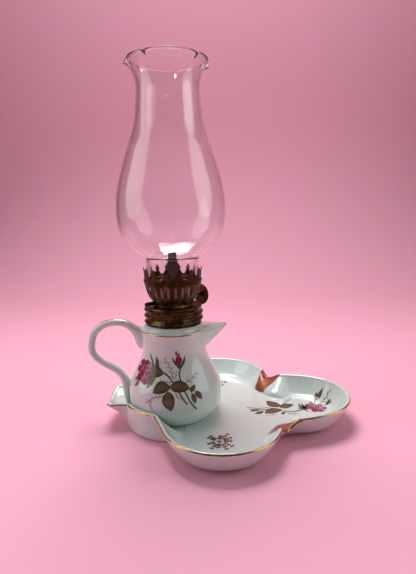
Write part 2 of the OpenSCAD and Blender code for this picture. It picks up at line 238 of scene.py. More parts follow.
def porcelain_material():
    """White glaze with specks, a gilt line and copper lustre where the mesh says."""
    material, tree, shader = new_material("glazed_porcelain")
    cloud = noise(tree, 0.03, 2)
    white = blend_colour(tree, cloud, rgba(GLAZE), rgba(GLAZE_WARM))
    speck = maths(tree, "GREATER_THAN", noise(tree, 0.75, 1, 0.3), 0.79)
    white = blend_colour(tree, maths(tree, "MULTIPLY", speck, 0.5), white, (0.22, 0.17, 0.13, 1))

    coarse = noise(tree, 0.35, 3)
    fine = noise(tree, 1.6, 2)
    wander = maths(tree, "MULTIPLY_ADD", coarse, 0.7, -0.35)
    gilt = edge_mask(tree, attribute(tree, "gilt"), wander, 0.07)
    brush = maths(tree, "MULTIPLY_ADD", noise(tree, 0.5, 4, 0.7, (1, 1, 2.5)), 3.4, -1.7)
    lustre = edge_mask(tree, attribute(tree, "lustre"), brush, 0.3)

    thin = maths(tree, "MULTIPLY_ADD", fine, 2.4, -0.75, clamp=True)
    gold = blend_colour(tree, thin, rgba(GOLD_WORN), rgba(GOLD))
    streak = noise(tree, 0.22, 4, 0.65, (1, 2.6, 1))
    copper = ramp(tree, streak, [(0.34, COPPER_DARK), (0.5, COPPER), (0.68, COPPER_LIGHT)])
    colour = blend_colour(tree, lustre, white, copper)
    colour = blend_colour(tree, gilt, colour, gold)
    bare = maths(tree, "LESS_THAN", node(tree, "ShaderNodeSeparateXYZ", {
        0: node(tree, "ShaderNodeTexCoord").outputs["Object"]}).outputs[2], BARE_FOOT_Z * MM)
    colour = blend_colour(tree, bare, colour, rgba(BARE_CLAY))

    metal = maths(tree, "MAXIMUM", maths(tree, "MULTIPLY", lustre, LUSTRE_METAL), gilt)
    rough = blend_value(tree, lustre, 0.06, 0.42)
    rough = blend_value(tree, gilt, rough, 0.22)
    rough = blend_value(tree, bare, rough, 0.85)
    swell = bump(tree, noise(tree, 0.045, 1), 0.5, 0.35)
    ripple = bump(tree, noise(tree, 0.4, 2), 0.02, 0.35, swell)
    feed(tree, shader, Base_Color=colour, Metallic=metal, Roughness=rough, Normal=ripple)
    feed(tree, shader, IOR=1.52, Coat_Weight=0.35, Coat_Roughness=0.03)
    return material


def patina_material(name, dark, middle, light, roughness, tarnish=0.5, metallic=0.9):
    """Aged brass: brown patina, worn paler in patches, with fine scratches."""
    material, tree, shader = new_material(name)
    patch = noise(tree, 0.16, 5, 0.62, distortion=0.6)
    colour = ramp(tree, patch, [(0.3, dark), (0.5, middle), (0.72, light)])
    mottle = noise(tree, 0.9, 4, 0.7)
    dirt = maths(tree, "MULTIPLY_ADD", mottle, 4.0, -2.0, clamp=True)
    colour = blend_colour(tree, maths(tree, "MULTIPLY", dirt, tarnish), colour, rgba(dark))
    scratch = noise(tree, 1.2, 3, 0.6, (1, 1, 7))
    rough = maths(tree, "MULTIPLY_ADD", mottle, 0.35, roughness - 0.1)
    grain = bump(tree, scratch, 0.03, 0.5, bump(tree, mottle, 0.05, 0.35))
    feed(tree, shader, Base_Color=colour, Roughness=rough, Normal=grain)
    feed(tree, shader, Metallic=metallic)
    return material


def cement_material():
    material, tree, shader = new_material("plaster_cement")
    grit = noise(tree, 1.1, 5, 0.7)
    colour = ramp(tree, grit, [(0.3, (0.45, 0.42, 0.36)), (0.7, BARE_CLAY)])
    feed(tree, shader, Base_Color=colour, Roughness=0.92, Normal=bump(tree, grit, 0.12, 0.6))
    return material


CHAR_LOW_Z = 90
CHAR_REACH = 14


def wick_material():
    """Woven cotton, clean below and charred at its top end."""
    material, tree, shader = new_material("cotton_wick")
    coords = node(tree, "ShaderNodeTexCoord").outputs["Object"]
    height = node(tree, "ShaderNodeSeparateXYZ", {0: coords}).outputs[2]
    rise = maths(tree, "MULTIPLY_ADD", height, 1 / (CHAR_REACH * MM), -CHAR_LOW_Z / CHAR_REACH)
    fray = maths(tree, "MULTIPLY_ADD", noise(tree, 0.7, 3), 0.5, -0.25)
    char = maths(tree, "ADD", rise, fray, clamp=True)
    thread = noise(tree, 2.2, 2, 0.6, (1, 1, 3))
    cotton = ramp(tree, thread, [(0.3, (0.42, 0.37, 0.27)), (0.7, (0.68, 0.62, 0.48))])
    soot = ramp(tree, thread, [(0.3, (0.010, 0.008, 0.006)), (0.7, (0.07, 0.06, 0.045))])
    colour = blend_colour(tree, char, cotton, soot)
    feed(tree, shader, Base_Color=colour, Roughness=0.95, Normal=bump(tree, thread, 0.1, 0.7))
    feed(tree, shader, Sheen_Weight=0.15)
    return material


def glass_material():
    material, tree, shader = new_material("clear_glass")
    seed = noise(tree, 0.05, 2, 0.5, (1, 1, 0.35))
    feed(tree, shader, Normal=bump(tree, seed, 0.5, 0.14))
    haze = maths(tree, "MULTIPLY", noise(tree, 0.25, 3), 0.03)
    feed(tree, shader, Roughness=haze, Base_Color=(0.985, 0.992, 0.99, 1))
    feed(tree, shader, IOR=1.47, Transmission_Weight=1.0)
    return material


def print_material(name, across_stops, vein=None, vein_colour=(0.05, 0.045, 0.02), grain=0.35):
    """Ceramic transfer ink. UV x runs across a shape, from 0 in its middle to 1 at its
    edge, and UV y runs along it."""
    material, tree, shader = new_material(name)
    uv = node(tree, "ShaderNodeUVMap", uv_map="print").outputs[0]
    parts = node(tree, "ShaderNodeSeparateXYZ", {0: uv})
    across = maths(tree, "ABSOLUTE", parts.outputs[0])
    along = parts.outputs[1]
    dots = noise(tree, 2.6, 3, 0.7)
    uneven = maths(tree, "MULTIPLY_ADD", dots, grain, -grain / 2)
    colour = ramp(tree, maths(tree, "ADD", across, uneven), across_stops)
    if vein:
        slanted = maths(tree, "MULTIPLY_ADD", across, -0.2, along)
        wave = maths(tree, "FRACT", maths(tree, "MULTIPLY", slanted, vein))
        side_vein = maths(tree, "LESS_THAN", wave, 0.2)
        mid_vein = maths(tree, "LESS_THAN", across, 0.07)
        line = maths(tree, "MAXIMUM", side_vein, mid_vein)
        colour = blend_colour(tree, maths(tree, "MULTIPLY", line, 0.75), colour, rgba(vein_colour))
    feed(tree, shader, Base_Color=colour, Roughness=0.16, IOR=1.5)
    feed(tree, shader, Normal=bump(tree, dots, 0.01, 0.3))
    return material


# ---- Mesh helpers

def mix(a, b, t):
    return np.asarray(a, float) * (1 - t) + np.asarray(b, float) * t


def toward(a, length=1.0):
    """A step in the direction of an angle in radians."""
    return length * np.array([math.cos(a), math.sin(a)])


def polar(r, degrees):
    return toward(math.radians(degrees), r)


def turns(count):
    """Angles in radians at equal steps round a full turn."""
    return np.arange(count) * 2 * math.pi / count


def ring(r, turn, z):
    """A loop about the axis. The radius and the height are numbers or one for each angle."""
    return np.column_stack([r * np.cos(turn), r * np.sin(turn), np.broadcast_to(z, len(turn))])


def unit(v):
    return np.asarray(v, float) / np.linalg.norm(v)


def smooth(points, steps):
    """A smooth curve through the points, with a number of steps between them."""
    p = np.asarray(points, float)
    padded = np.vstack([p[:1], p, p[-1:]])
    curve = []
    for a, b, c, d in zip(padded, padded[1:], padded[2:], padded[3:]):
        for t in np.arange(steps) / steps:
            curve.append(0.5 * (2 * b + (c - a) * t + (2 * a - 5 * b + 4 * c - d) * t * t
                                + (3 * b - a - 3 * c + d) * t ** 3))
    curve.append(p[-1])
    return np.array(curve)


def grid_faces(rows, columns, closed_rows=False, closed_columns=True):
    """Quads between the points of a grid that is numbered row by row."""
    faces = []
    for i in range(rows if closed_rows else rows - 1):
        above = (i + 1) % rows
        for j in range(columns if closed_columns else columns - 1):
            beside = (j + 1) % columns
            faces.append((i * columns + j, i * columns + beside,
                          above * columns + beside, above * columns + j))
    return faces


def shifted(faces, first):
    """The same faces for points whose numbers start at first."""
    return [tuple(first + k for k in face) for face in faces]


def solid_faces(rows, columns, tube=False):
    """Faces of a closed solid through loops. A tube's last loop joins its first."""
    faces = grid_faces(rows, columns, closed_rows=tube)
    if not tube:
        faces.append(tuple(range(columns - 1, -1, -1)))
        faces.append(tuple(range((rows - 1) * columns, rows * columns)))
    return faces


def make_piece(name, points, faces, body, material, instead_of=(), sharp=50):
    mesh = bpy.data.meshes.new(name)
    mesh.from_pydata(place(points).tolist(), [], faces)
    mesh.materials.append(material)
    mesh.polygons.foreach_set("use_smooth", [True] * len(mesh.polygons))
    mesh.set_sharp_from_angle(angle=math.radians(sharp))
    mesh.update()
    piece = bpy.data.objects.new(name, mesh)
    scene.collection.objects.link(piece)
    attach(piece, body)
    if instead_of:
        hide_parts(*instead_of)
    return piece


def make_loft(name, loops, body, material, instead_of=(), tube=False, sharp=50):
    loops = np.asarray(loops, float)
    rows, columns = loops.shape[:2]
    return make_piece(name, loops.reshape(-1, 3), solid_faces(rows, columns, tube), body,
                      material, instead_of, sharp)


def distance_past(loops, row):
    """How far each point of a loft lies past one row, measured over the surface."""
    steps = np.linalg.norm(np.diff(loops, axis=0, prepend=loops[:1]), axis=2)
    across = np.cumsum(steps, axis=0)
    return across - across[row]


def add_attribute(piece, name, values):
    layer = piece.data.attributes.new(name, "FLOAT", "POINT")
    layer.data.foreach_set("value", np.asarray(values, float).ravel())


def thicken(piece, millimetres, sharp=50):
    """Gives a sheet its thickness, inwards, and closes its edges."""
    wall = piece.modifiers.new("thickness", "SOLIDIFY")
    wall.thickness = millimetres * MM
    wall.offset = -1
    apply_modifiers(piece)
    piece.data.polygons.foreach_set("use_smooth", [True] * len(piece.data.polygons))
    piece.data.set_sharp_from_angle(angle=math.radians(sharp))


def apply_modifiers(piece):
    depsgraph = bpy.context.evaluated_depsgraph_get()
    mesh = bpy.data.meshes.new_from_object(piece.evaluated_get(depsgraph))
    piece.modifiers.clear()
    piece.data = mesh


def weld(points, faces, grain=1e-4):
    """Joins points that lie together, and drops faces that close up."""
    keys = {}
    index = []
    kept = []
    for p in points:
        key = tuple(np.round(np.asarray(p) / grain).astype(int))
        if key not in keys:
            keys[key] = len(kept)
            kept.append(p)
        index.append(keys[key])
    joined = []
    for face in faces:
        corners = [index[k] for k in face]
        corners = [c for k, c in enumerate(corners) if c != corners[k - 1]]
        if len(corners) > 2:
            joined.append(tuple(corners))
    return kept, joined


def revolved(outline, columns):
    """Loops of a closed outline of (radius, height) points turned about the axis."""
    return np.array([ring(r, turns(columns), z) for r, z in outline])


# ---- Tray

RIM_H = 16.0
HIGH_RIM_H = 17.0
FLOOR_H = 5.0
SIDE_LOBE_R = 32.98
SIDE_CENTRE = np.array([27.5, 36.8])
END_LOBE_R = 32.2
END_CENTRE = np.array([75.6, 0.0])
FLARE = 10.5
REST_DIP = 4.0
RIM_T = 2.6
FOOT_H = 1.2
FOOT_W = 2.4
FOOT_INSET = 0.8
BACK_R = 31.7
BACK_FOOT_R = 30.2
BACK_FLOOR_R = 28.7
SIDE_REST_A = 15.0
SIDE_END_A = 190.2
SIDE_FOOT_A = 198.9
SIDE_FLOOR_A = 205.6
SIDE_BULGE = 5.3
END_REST_A = 94.0
END_BULGE = 1.8
BACK_START_A = 108.8
BACK_END_A = 150.7
BACK_FOOT_START_A = 78.0
BACK_FLOOR_START_A = 73.6
REST_BOW = 2.3
REST_FOOT_BOW = 6.0
REST_FLOOR_BOW = 11.0
# Plan of the lustre patch on a rest, anticlockwise, as x and the distance from the middle.
LUSTRE_PATCH = [(59.8, 46.2), (52.3, 32.0), (52.6, 21.8), (71.2, 33.4), (73.0, 35.2)]
LUSTRE_MARGIN = 1.0
LUSTRE_PAST_GILT = 1.6
NO_LUSTRE = -9.0        # a distance that lies well outside any patch
GILT_HALF_W = 0.5
LIP_LOW_Z = 13.6
LIP_PATH = [(-27.6, 15.5), (-33, 15.3), (-38, 15.9), (-40.5, 13.6), (-41.6, 8), (-41.9, 0)]
FINE = 4                # stations for each one of the solid model


def end_rim(a):
    swing = (max(a - 60, 0) / (END_REST_A - 60)) ** 2
    return END_CENTRE + polar(END_LOBE_R + END_BULGE * swing, a)


def side_rim(a):
    swing = (max(a - 160, 0) / (SIDE_END_A - 160)) ** 2
    return SIDE_CENTRE + polar(SIDE_LOBE_R + SIDE_BULGE * swing, a)


def station(rim, rim_z, foot, floor, inward, rim_t, outer, inner):
    """One section of the tray's wall as a row of 12 numbers."""
    return [*rim, rim_z, *foot, *floor, *inward, rim_t, outer, inner]


def end_station(t):
    a = END_REST_A * t
    return station(end_rim(a), mix(HIGH_RIM_H, RIM_H, t * t),
                   END_CENTRE + polar(END_LOBE_R - FLARE, a),
                   END_CENTRE + polar(END_LOBE_R - FLARE - 1, a), -polar(1, a), RIM_T, 1.6, 1.8)


def rest_station(t):
    bow = math.sin(math.pi * t)
    reach = bow ** 0.6
    away = -polar(1, 45)
    foot = mix(END_CENTRE + polar(END_LOBE_R - FLARE, END_REST_A),
               SIDE_CENTRE + polar(SIDE_LOBE_R - FLARE, SIDE_REST_A), t)
    floor = mix(END_CENTRE + polar(END_LOBE_R - FLARE - 1, END_REST_A),
                SIDE_CENTRE + polar(SIDE_LOBE_R - FLARE - 1, SIDE_REST_A), t)
    dip = REST_DIP * math.sin(math.pi * t ** 1.25) ** 2
    return station(mix(end_rim(END_REST_A), side_rim(SIDE_REST_A), t) + REST_BOW * bow * away,
                   RIM_H - dip, foot + REST_FOOT_BOW * bow * away,
                   floor - REST_FLOOR_BOW * reach * np.array([-0.05, 1]),
                   unit(mix(-polar(1, END_REST_A), -polar(1, SIDE_REST_A), t)), RIM_T,
                   mix(1.6, 0.9, bow), mix(1.8, 0.4, reach))


def side_station(t):
    a = mix(SIDE_REST_A, SIDE_END_A, t)
    k = t ** 8
    foot_a = mix(SIDE_REST_A, SIDE_FOOT_A, t)
    floor_a = mix(SIDE_REST_A, SIDE_FLOOR_A, t)
    return station(side_rim(a), RIM_H + (HIGH_RIM_H - RIM_H) * t ** 6,
                   SIDE_CENTRE + polar(SIDE_LOBE_R - FLARE, foot_a),
                   SIDE_CENTRE + polar(SIDE_LOBE_R - FLARE - 1, floor_a),
                   unit(mix(-polar(1, a), -polar(1, BACK_START_A), k * 0.5)), RIM_T,
                   mix(1.6, 1.2, k), mix(1.8, 1.6, k))


def back_station(t):
    a = mix(BACK_START_A, BACK_END_A, t)
    return station(polar(BACK_R, a), HIGH_RIM_H,
                   polar(BACK_FOOT_R, mix(BACK_FOOT_START_A, BACK_END_A, t)),
                   polar(BACK_FLOOR_R, mix(BACK_FLOOR_START_A, BACK_END_A, t)),
                   -polar(1, a), RIM_T, 1.1, mix(1.6, 1, t ** 3))


def lip_station(p, t):
    a = mix(BACK_END_A, 180, t)
    k = min(1, t * 4)
    floor = polar(BACK_FLOOR_R, a)
    return station(p, LIP_LOW_Z + (HIGH_RIM_H - LIP_LOW_Z) * min(1, (p[1] / 14) ** 2),
                   polar(BACK_FOOT_R, a), floor,
                   unit(mix(-polar(1, BACK_END_A), unit(floor - p), k)),
                   mix(RIM_T, 3.4, k), mix(1, 0.65, k), mix(0.9, 0.42, k))


def tray_stations():
    """The tray's sections all the way round, from the end lobe's tip."""
    lip = smooth(LIP_PATH, 3 * FINE)
    last = len(lip) - 1
    half = [end_station(i / (12 * FINE)) for i in range(12 * FINE + 1)]
    half += [rest_station(i / (9 * FINE)) for i in range(1, 9 * FINE)]
    half += [side_station(i / (22 * FINE)) for i in range(22 * FINE + 1)]
    half += [back_station(i / (8 * FINE)) for i in range(1, 8 * FINE + 1)]
    half += [lip_station(lip[i], i / last) for i in range(1, last + 1)]
    half = np.array([np.array([float(v) for v in row]) for row in half])
    other = half[-2:0:-1].copy()
    other[:, [1, 4, 6, 8]] *= -1
    whole = np.vstack([half, other])
    for _ in range(4):
        whole = (np.roll(whole, 1, axis=0) + 2 * whole + np.roll(whole, -1, axis=0)) / 4
    return whole


def inside_patch(points, outline):
    """How far each plan point lies inside a convex outline that runs anticlockwise."""
    outline = np.asarray(outline, float)
    inside = np.full(points.shape[:-1], np.inf)
    for start, end in zip(outline, np.roll(outline, -1, axis=0)):
        along = unit(end - start)
        away = points - start
        inside = np.minimum(inside, along[0] * away[..., 1] - along[1] * away[..., 0])
    return inside


RIM_ROUND = [(0, 1.2), (0.05, 0.72), (0.18, 0.35), (0.5, 0), (0.82, 0.3), (0.95, 0.62), (1, 1)]


def tray_loops(s):
    rim, rim_z, foot, floor, inward = s[:, 0:2], s[:, 2], s[:, 3:5], s[:, 5:7], s[:, 7:9]
    rim_t, outer, inner = s[:, 9], s[:, 10], s[:, 11]
    inside_top = rim + inward * rim_t[:, None]

    def loop(xy, z):
        return np.column_stack([xy, np.broadcast_to(z, len(xy))])

    loops = [loop(foot + (FOOT_W + FOOT_INSET + 0.8) * inward, FOOT_H)]
    loops += [loop(foot + d * inward, z) for d, z in
              [(FOOT_W + FOOT_INSET + 0.1, 0.25), (FOOT_W + FOOT_INSET - 0.2, 0),
               (FOOT_INSET + 0.3, 0), (FOOT_INSET, 0.25)]]
    for u in np.linspace(0, 1, 17)[:-1]:
        height = FOOT_H + (rim_z - RIM_ROUND[0][1] - FOOT_H) * u ** outer
        loops.append(loop(mix(foot, rim, u), height))
    edge = smooth(RIM_ROUND, 3)
    gilt_row = len(loops) + 4
    for share, drop in edge:
        loops.append(loop(rim + inward * (rim_t * share)[:, None], rim_z - drop))
    for v in np.linspace(1, 0, 22)[1:]:
        height = FLOOR_H + (rim_z - RIM_ROUND[-1][1] - FLOOR_H) * v ** inner
        loops.append(loop(mix(floor, inside_top, v), height))
    return np.array(loops), gilt_row


def make_tray(material):
    stations = tray_stations()
    loops, gilt_row = tray_loops(stations)
    tray = make_loft("tray_glazed", loops, "lamp", material, ["tray"])
    across = distance_past(loops, gilt_row)
    add_attribute(tray, "gilt", GILT_HALF_W - np.abs(across))
    plan = loops[:, :, :2] * np.sign(loops[:, :, 1:2] + 1e-9) ** np.array([0, 1])
    patch = inside_patch(plan, LUSTRE_PATCH)
    patch[-1] = np.minimum(patch[-1], -LUSTRE_MARGIN)   # keeps the lustre off the flat floor
    add_attribute(tray, "lustre", np.minimum(patch, across + LUSTRE_PAST_GILT))


# ---- Jug

DECK_H = 60.0
DECK_R = 20.4
SPOUT_REACH = 32.6
SPOUT_LOW_Z = 47.5
SPOUT_RISE = 1.8
JUG_WALL = 2.6
JUG_GILT_HALF_W = 0.46
JUG_OUTLINE = [
    (20, FLOOR_H), (24.3, 8), (27.5, 13), (28.3, 18), (28.4, 22.5), (27.6, 27), (25.5, 31.6),
    (22.8, 37), (20.6, 42), (19.5, 47.5), (19.5, 54), (20, 58.6), (DECK_R, 59.4)
]
JUG_PROFILE = smooth(JUG_OUTLINE, 8)
JUG_STEPS = 288
FRONT_A = -85.3         # the side of the jug that faces forward


def spout_at(z):
    return max(0.0, (z - SPOUT_LOW_Z) / (DECK_H - SPOUT_LOW_Z))


def jug_loop(r, z):
    """The jug's outline at a height: a circle drawn out to a point at the spout."""
    reach = r + (SPOUT_REACH - DECK_R) * spout_at(z)
    lean = math.degrees(math.acos(min(1, r / reach)))
    loop = []
    for j in range(JUG_STEPS):
        a = j * 360 / JUG_STEPS
        b = min(a, 360 - a)
        d = r / math.cos(math.radians(lean - b)) if b < lean else r
        lift = SPOUT_RISE * (d - r) / (SPOUT_REACH - DECK_R) * spout_at(z) ** 3
        loop.append((*polar(d, a), z + lift))
    return loop


def make_jug(material):
    loops = [jug_loop(r, z) for r, z in JUG_PROFILE]
    gilt_row = len(loops) - 4
    shoulder = smooth([(DECK_R, 59.4), (DECK_R - 0.12, 59.75), (DECK_R - 0.5, DECK_H),
                       (DECK_R - 1.8, DECK_H + 0.3)], 4)
    loops += [jug_loop(r, z) for r, z in shoulder[1:]]
    neck = [(18.35, 60.95), (17.6, 61.85), (16.95, 62.6), (16.65, 62.8), (16.45, 62.7),
            (16.4, 61.9), (14.5, 61.8), (14.5, 64.4), (12, 64.4), (12, 58), (16.5, 56.5)]
    inside = [(r - JUG_WALL, z) for r, z in JUG_OUTLINE[::-1] if 9 < z < 55]
    loops += list(revolved(neck + inside + [(21, 8.8), (18, 8)], JUG_STEPS))
    loops = np.array(loops)
    jug = make_loft("pitcher_glazed", loops, "lamp", material, ["pitcher"])
    add_attribute(jug, "gilt", JUG_GILT_HALF_W - np.abs(distance_past(loops, gilt_row)))
    add_attribute(jug, "lustre", np.full(loops.shape[:2], NO_LUSTRE))


# Handle sections: x, height, half depth and half width.
HANDLE_PATH = [
    (-18.0, 52.4, 6.8, 4.2), (-19.3, 53.6, 5.6, 3.5), (-21.4, 56.0, 4.1, 2.8),
    (-24.5, 58.8, 2.95, 2.45), (-27.9, 61.3, 2.4, 2.3), (-32, 62.7, 2.2, 2.2),
    (-36.3, 62.9, 2.15, 2.2), (-40.6, 62.2, 2.15, 2.2), (-45.1, 59.9, 2.15, 2.2),
    (-48.9, 55.8, 2.15, 2.2), (-50.68, 49.5, 2.15, 2.2), (-50.5, 44.4, 2.15, 2.2),
    (-48, 40.6, 2.15, 2.2), (-43.9, 37.4, 2.15, 2.2), (-39.2, 34.8, 2.2, 2.3),
    (-34.9, 31.8, 2.3, 2.5), (-31.8, 28, 2.5, 2.9), (-30.3, 23, 2.7, 3.4),
    (-29.7, 17, 2.6, 3.6), (-29.0, 12, 2.2, 3.0), (-27.2, 9.4, 1.2, 1.8)
]


def make_handle(material):
    sides = 48
    path = smooth(HANDLE_PATH, 8)
    ahead = np.gradient(path[:, :2], axis=0)
    ahead[0] = (-1, 0.35)
    ahead /= np.linalg.norm(ahead, axis=1)[:, None]
    turn = turns(sides)
    loops = []
    for (x, z, depth, width), (dx, dz) in zip(path, ahead):
        out = depth * np.cos(turn)
        loops.append(np.column_stack([x + dz * out, width * np.sin(turn), z - dx * out]))
    loops = np.array(loops)
    handle = make_loft("handle_glazed", loops, "lamp", material, ["pitcher_handle"])
    spine = np.abs(loops[:, :, 1]) + 9.0 * (np.cos(turn) < 0)
    length = np.linspace(0, 1, len(path))
    fade = np.clip(np.minimum((length - 0.17) * 20, (0.53 - length) * 20), -2, 0.95)
    add_attribute(handle, "gilt", fade[:, None] - spine)
    add_attribute(handle, "lustre", np.full(loops.shape[:2], NO_LUSTRE))


# ---- Collar and threaded shell

COLLAR_Z = 61.8
COLLAR_TOP_Z = 73.8
COLLAR_BORE_R = 15.6
COLLAR_R = 17.7
THREAD_PITCH = 3.7
SHELL_R = 15.53
SHELL_BOTTOM_Z = 65.2
PLATE_Z = 73.1
PLATE_T = 0.7
NECK_Z = PLATE_Z + PLATE_T
BASKET_Z = 78.0
CROWN_Z = 88.4
THREAD_COLUMNS = 192
THREAD_START_Z = 62.33
FOOT_BAND_R = 16.1


def thread_wave(turn, z, start_z):
    """From 0 in the root of a right-handed thread to 1 on its ridge."""
    phase = (z - start_z) / THREAD_PITCH - turn / (2 * math.pi)
    return (0.5 + 0.5 * np.cos(2 * math.pi * phase)) ** 1.35


def make_collar(material):
    root_r = 16.45
    ridge = COLLAR_R - root_r
    turn = turns(THREAD_COLUMNS)
    outline = [(COLLAR_BORE_R, 63.0), (COLLAR_BORE_R + 0.1, COLLAR_Z + 0.05),
               (FOOT_BAND_R, COLLAR_Z), (FOOT_BAND_R, 62.9)]
    outline += [(None, z) for z in np.linspace(63.2, COLLAR_TOP_Z - 1.6, 50)]
    outline += [(root_r + 0.62 * math.sin(a), COLLAR_TOP_Z - 0.72 - 0.72 * math.cos(a))
                for a in np.linspace(0.35, math.pi, 9)]
    outline += [(COLLAR_BORE_R + 0.25, COLLAR_TOP_Z - 0.1), (COLLAR_BORE_R, COLLAR_TOP_Z - 0.5)]
    loops = []
    for r, z in outline:
        if r is None:
            share = max(0, min((z - 63.5) / 0.9, (COLLAR_TOP_Z - 0.9 - z) / 1.0, 1))
            r = mix(FOOT_BAND_R, root_r, min(1, (z - 63.2) / 0.8))
            r = r + ridge * thread_wave(turn, z, THREAD_START_Z) * share
        loops.append(ring(r, turn, z))
    make_loft("threaded_collar", loops, "lamp", material, ["collar"], tube=True)


def make_screw_shell(material):
    root_r = 15.0
    wall = 0.4
    turn = turns(THREAD_COLUMNS)
    heights = np.linspace(SHELL_BOTTOM_Z, PLATE_Z, 40)
    outside = []
    inside = []
    for z in heights:
        share = min((z - SHELL_BOTTOM_Z) / 0.8, (PLATE_Z - z) / 0.8, 1)
        r = root_r + (SHELL_R - 0.03 - root_r) * thread_wave(turn, z, COLLAR_Z) * share
        outside.append(ring(r, turn, z))
        inside.append(ring(r - wall, turn, z))
    make_loft("threaded_screw_shell", outside + inside[::-1], "screw_shell",
              material, ["burner_shell"], tube=True)


def make_neck_ring(material):
    outer = smooth([(12.0, NECK_Z), (12.35, NECK_Z + 0.25), (12.2, NECK_Z + 0.7),
                    (12.05, NECK_Z + 1.2), (12.25, 76), (12.75, 77.2), (13.3, BASKET_Z - 0.25),
                    (13.3, BASKET_Z)], 4)
    inner = outer[::-1] - np.array([0.5, 0])
    loops = revolved(np.vstack([outer, inner]), 144)
    make_loft("neck_ring_rolled", loops, "burner", material, ["neck_ring"],
              tube=True)


# ---- Basket and crown, each one pierced sheet that is then thickened

SLOT_COUNT = 24
SLOT_W = 1.5
SLOT_PHASE = 0.65       # where the first slot stands, in pitches from +X
SLOT_LOW_Z = 79.2
SLOT_HIGH_Z = 86.3
SHEET = 0.5


def basket_radius(z):
    curve = smooth([(13.9, BASKET_Z), (14.9, 80.2), (15.8, 82.7), (16.5, 85.4),
                    (17.0, CROWN_Z)], 12)
    return float(np.interp(z, curve[:, 1], curve[:, 0]))


def slot_ring(long_steps, end_steps):
    """A slot's edge and the edge of the panel around it, both as (turn share, height).
    A turn share of 1 is half the pitch from one slot to the next."""
    r = SLOT_W / 2
    low = SLOT_LOW_Z + r
    high = SLOT_HIGH_Z - r
    panel_low = SLOT_LOW_Z - 0.5
    panel_high = SLOT_HIGH_Z + 0.5
    half_pitch = math.pi / SLOT_COUNT
    slot = [(r, mix(low, high, i / long_steps)) for i in range(long_steps)]
    slot += [(r * math.cos(a), high + r * math.sin(a))
             for a in np.arange(end_steps) * math.pi / end_steps]
    slot += [(-r, mix(high, low, i / long_steps)) for i in range(long_steps)]
    slot += [(-r * math.cos(a), low - r * math.sin(a))
             for a in np.arange(end_steps) * math.pi / end_steps]
    slot = [(u / basket_radius(z) / half_pitch, float(z)) for u, z in slot]
    panel = [(1, mix(panel_low, panel_high, i / long_steps)) for i in range(long_steps)]
    panel += [(1 - 2 * i / end_steps, panel_high) for i in range(end_steps)]
    panel += [(-1, mix(panel_high, panel_low, i / long_steps)) for i in range(long_steps)]
    panel += [(-1 + 2 * i / end_steps, panel_low) for i in range(end_steps)]
    return np.array(slot), np.array(panel)


def make_basket(material):
    long_steps = 12
    end_steps = 8
    slot, panel = slot_ring(long_steps, end_steps)
    count = len(slot)
    rings = [mix(slot, panel, t) for t in (0, 0.2, 0.6, 1)]
    points = []
    faces = []
    for i in range(SLOT_COUNT):
        first = len(points)
        for ring in rings:
            for share, z in ring:
                a = (i + SLOT_PHASE + share / 2) * 360 / SLOT_COUNT
                points.append((*polar(basket_radius(z), a), z))
        faces += shifted(grid_faces(len(rings), count), first)
    columns = SLOT_COUNT * end_steps
    start = (SLOT_PHASE + 0.5) * 360 / SLOT_COUNT
    above = [(0, 86.8), (0.16, 87.0), (0.16, 87.2), (-0.05, 87.4), (0.14, 87.6), (0.14, 87.8),
             (-0.02, 88.0), (-0.02, 88.35)]
    bands = [[(basket_radius(z) + out, z) for out, z in above]]
    bands.append([(12.95, BASKET_Z + 0.12), (13.5, BASKET_Z + 0.12), (13.95, BASKET_Z + 0.3),
                  (basket_radius(78.7), 78.7)])
    for band in bands:
        first = len(points)
        for r, z in band:
            points += [(*polar(r, start + j * 360 / columns), z) for j in range(columns)]
        faces += shifted(grid_faces(len(band), columns), first)
    points, faces = weld(points, faces)
    faces = [f[::-1] if outward(points, f) < 0 else f for f in faces]
    basket = make_piece("slotted_basket", points, faces, "burner", material,
                        ["basket"])
    thicken(basket, SHEET, SHEET_EDGE_A)


def outward(points, face):
    """Positive if a face looks away from the lamp's axis, or down where it is level."""
    a, b, c = (np.asarray(points[k]) for k in face[:3])
    normal = np.cross(b - a, c - b)
    middle = (a + b + c) / 3
    return float(normal[0] * middle[0] + normal[1] * middle[1] - normal[2] * 12)


PRONG_COUNT = 14
# Half width of a prong at each height, from the valley between two prongs to the tip.
PRONG_SHAPE = [
    (90.62, 3.85), (90.68, 3.5), (90.82, 3.05), (91.05, 2.65), (91.4, 2.35), (91.9, 2.15),
    (92.35, 1.9), (92.75, 1.5), (93.1, 1.27), (93.35, 1.27), (93.6, 1.52), (93.9, 1.76),
    (94.2, 1.7), (94.7, 1.42), (95.2, 1.18), (95.75, 0.88), (96.15, 0.6), (96.4, 0.32),
    (96.5, 0.08)
]
CROWN_TURN = -8.4
CROWN_SHEET = 0.45
PRONG_RING_R = 17.2     # where the half widths above are measured
SHEET_EDGE_A = 40       # degrees, above which a thickened sheet's edge is sharp
CROWN_BAND = [
    (13.5, 88.45), (16.2, 88.45), (16.9, 88.5), (17.3, 88.75), (17.48, 89.15), (17.35, 89.6),
    (17.0, 89.9), (16.86, 90.2), (16.86, 90.62)
]


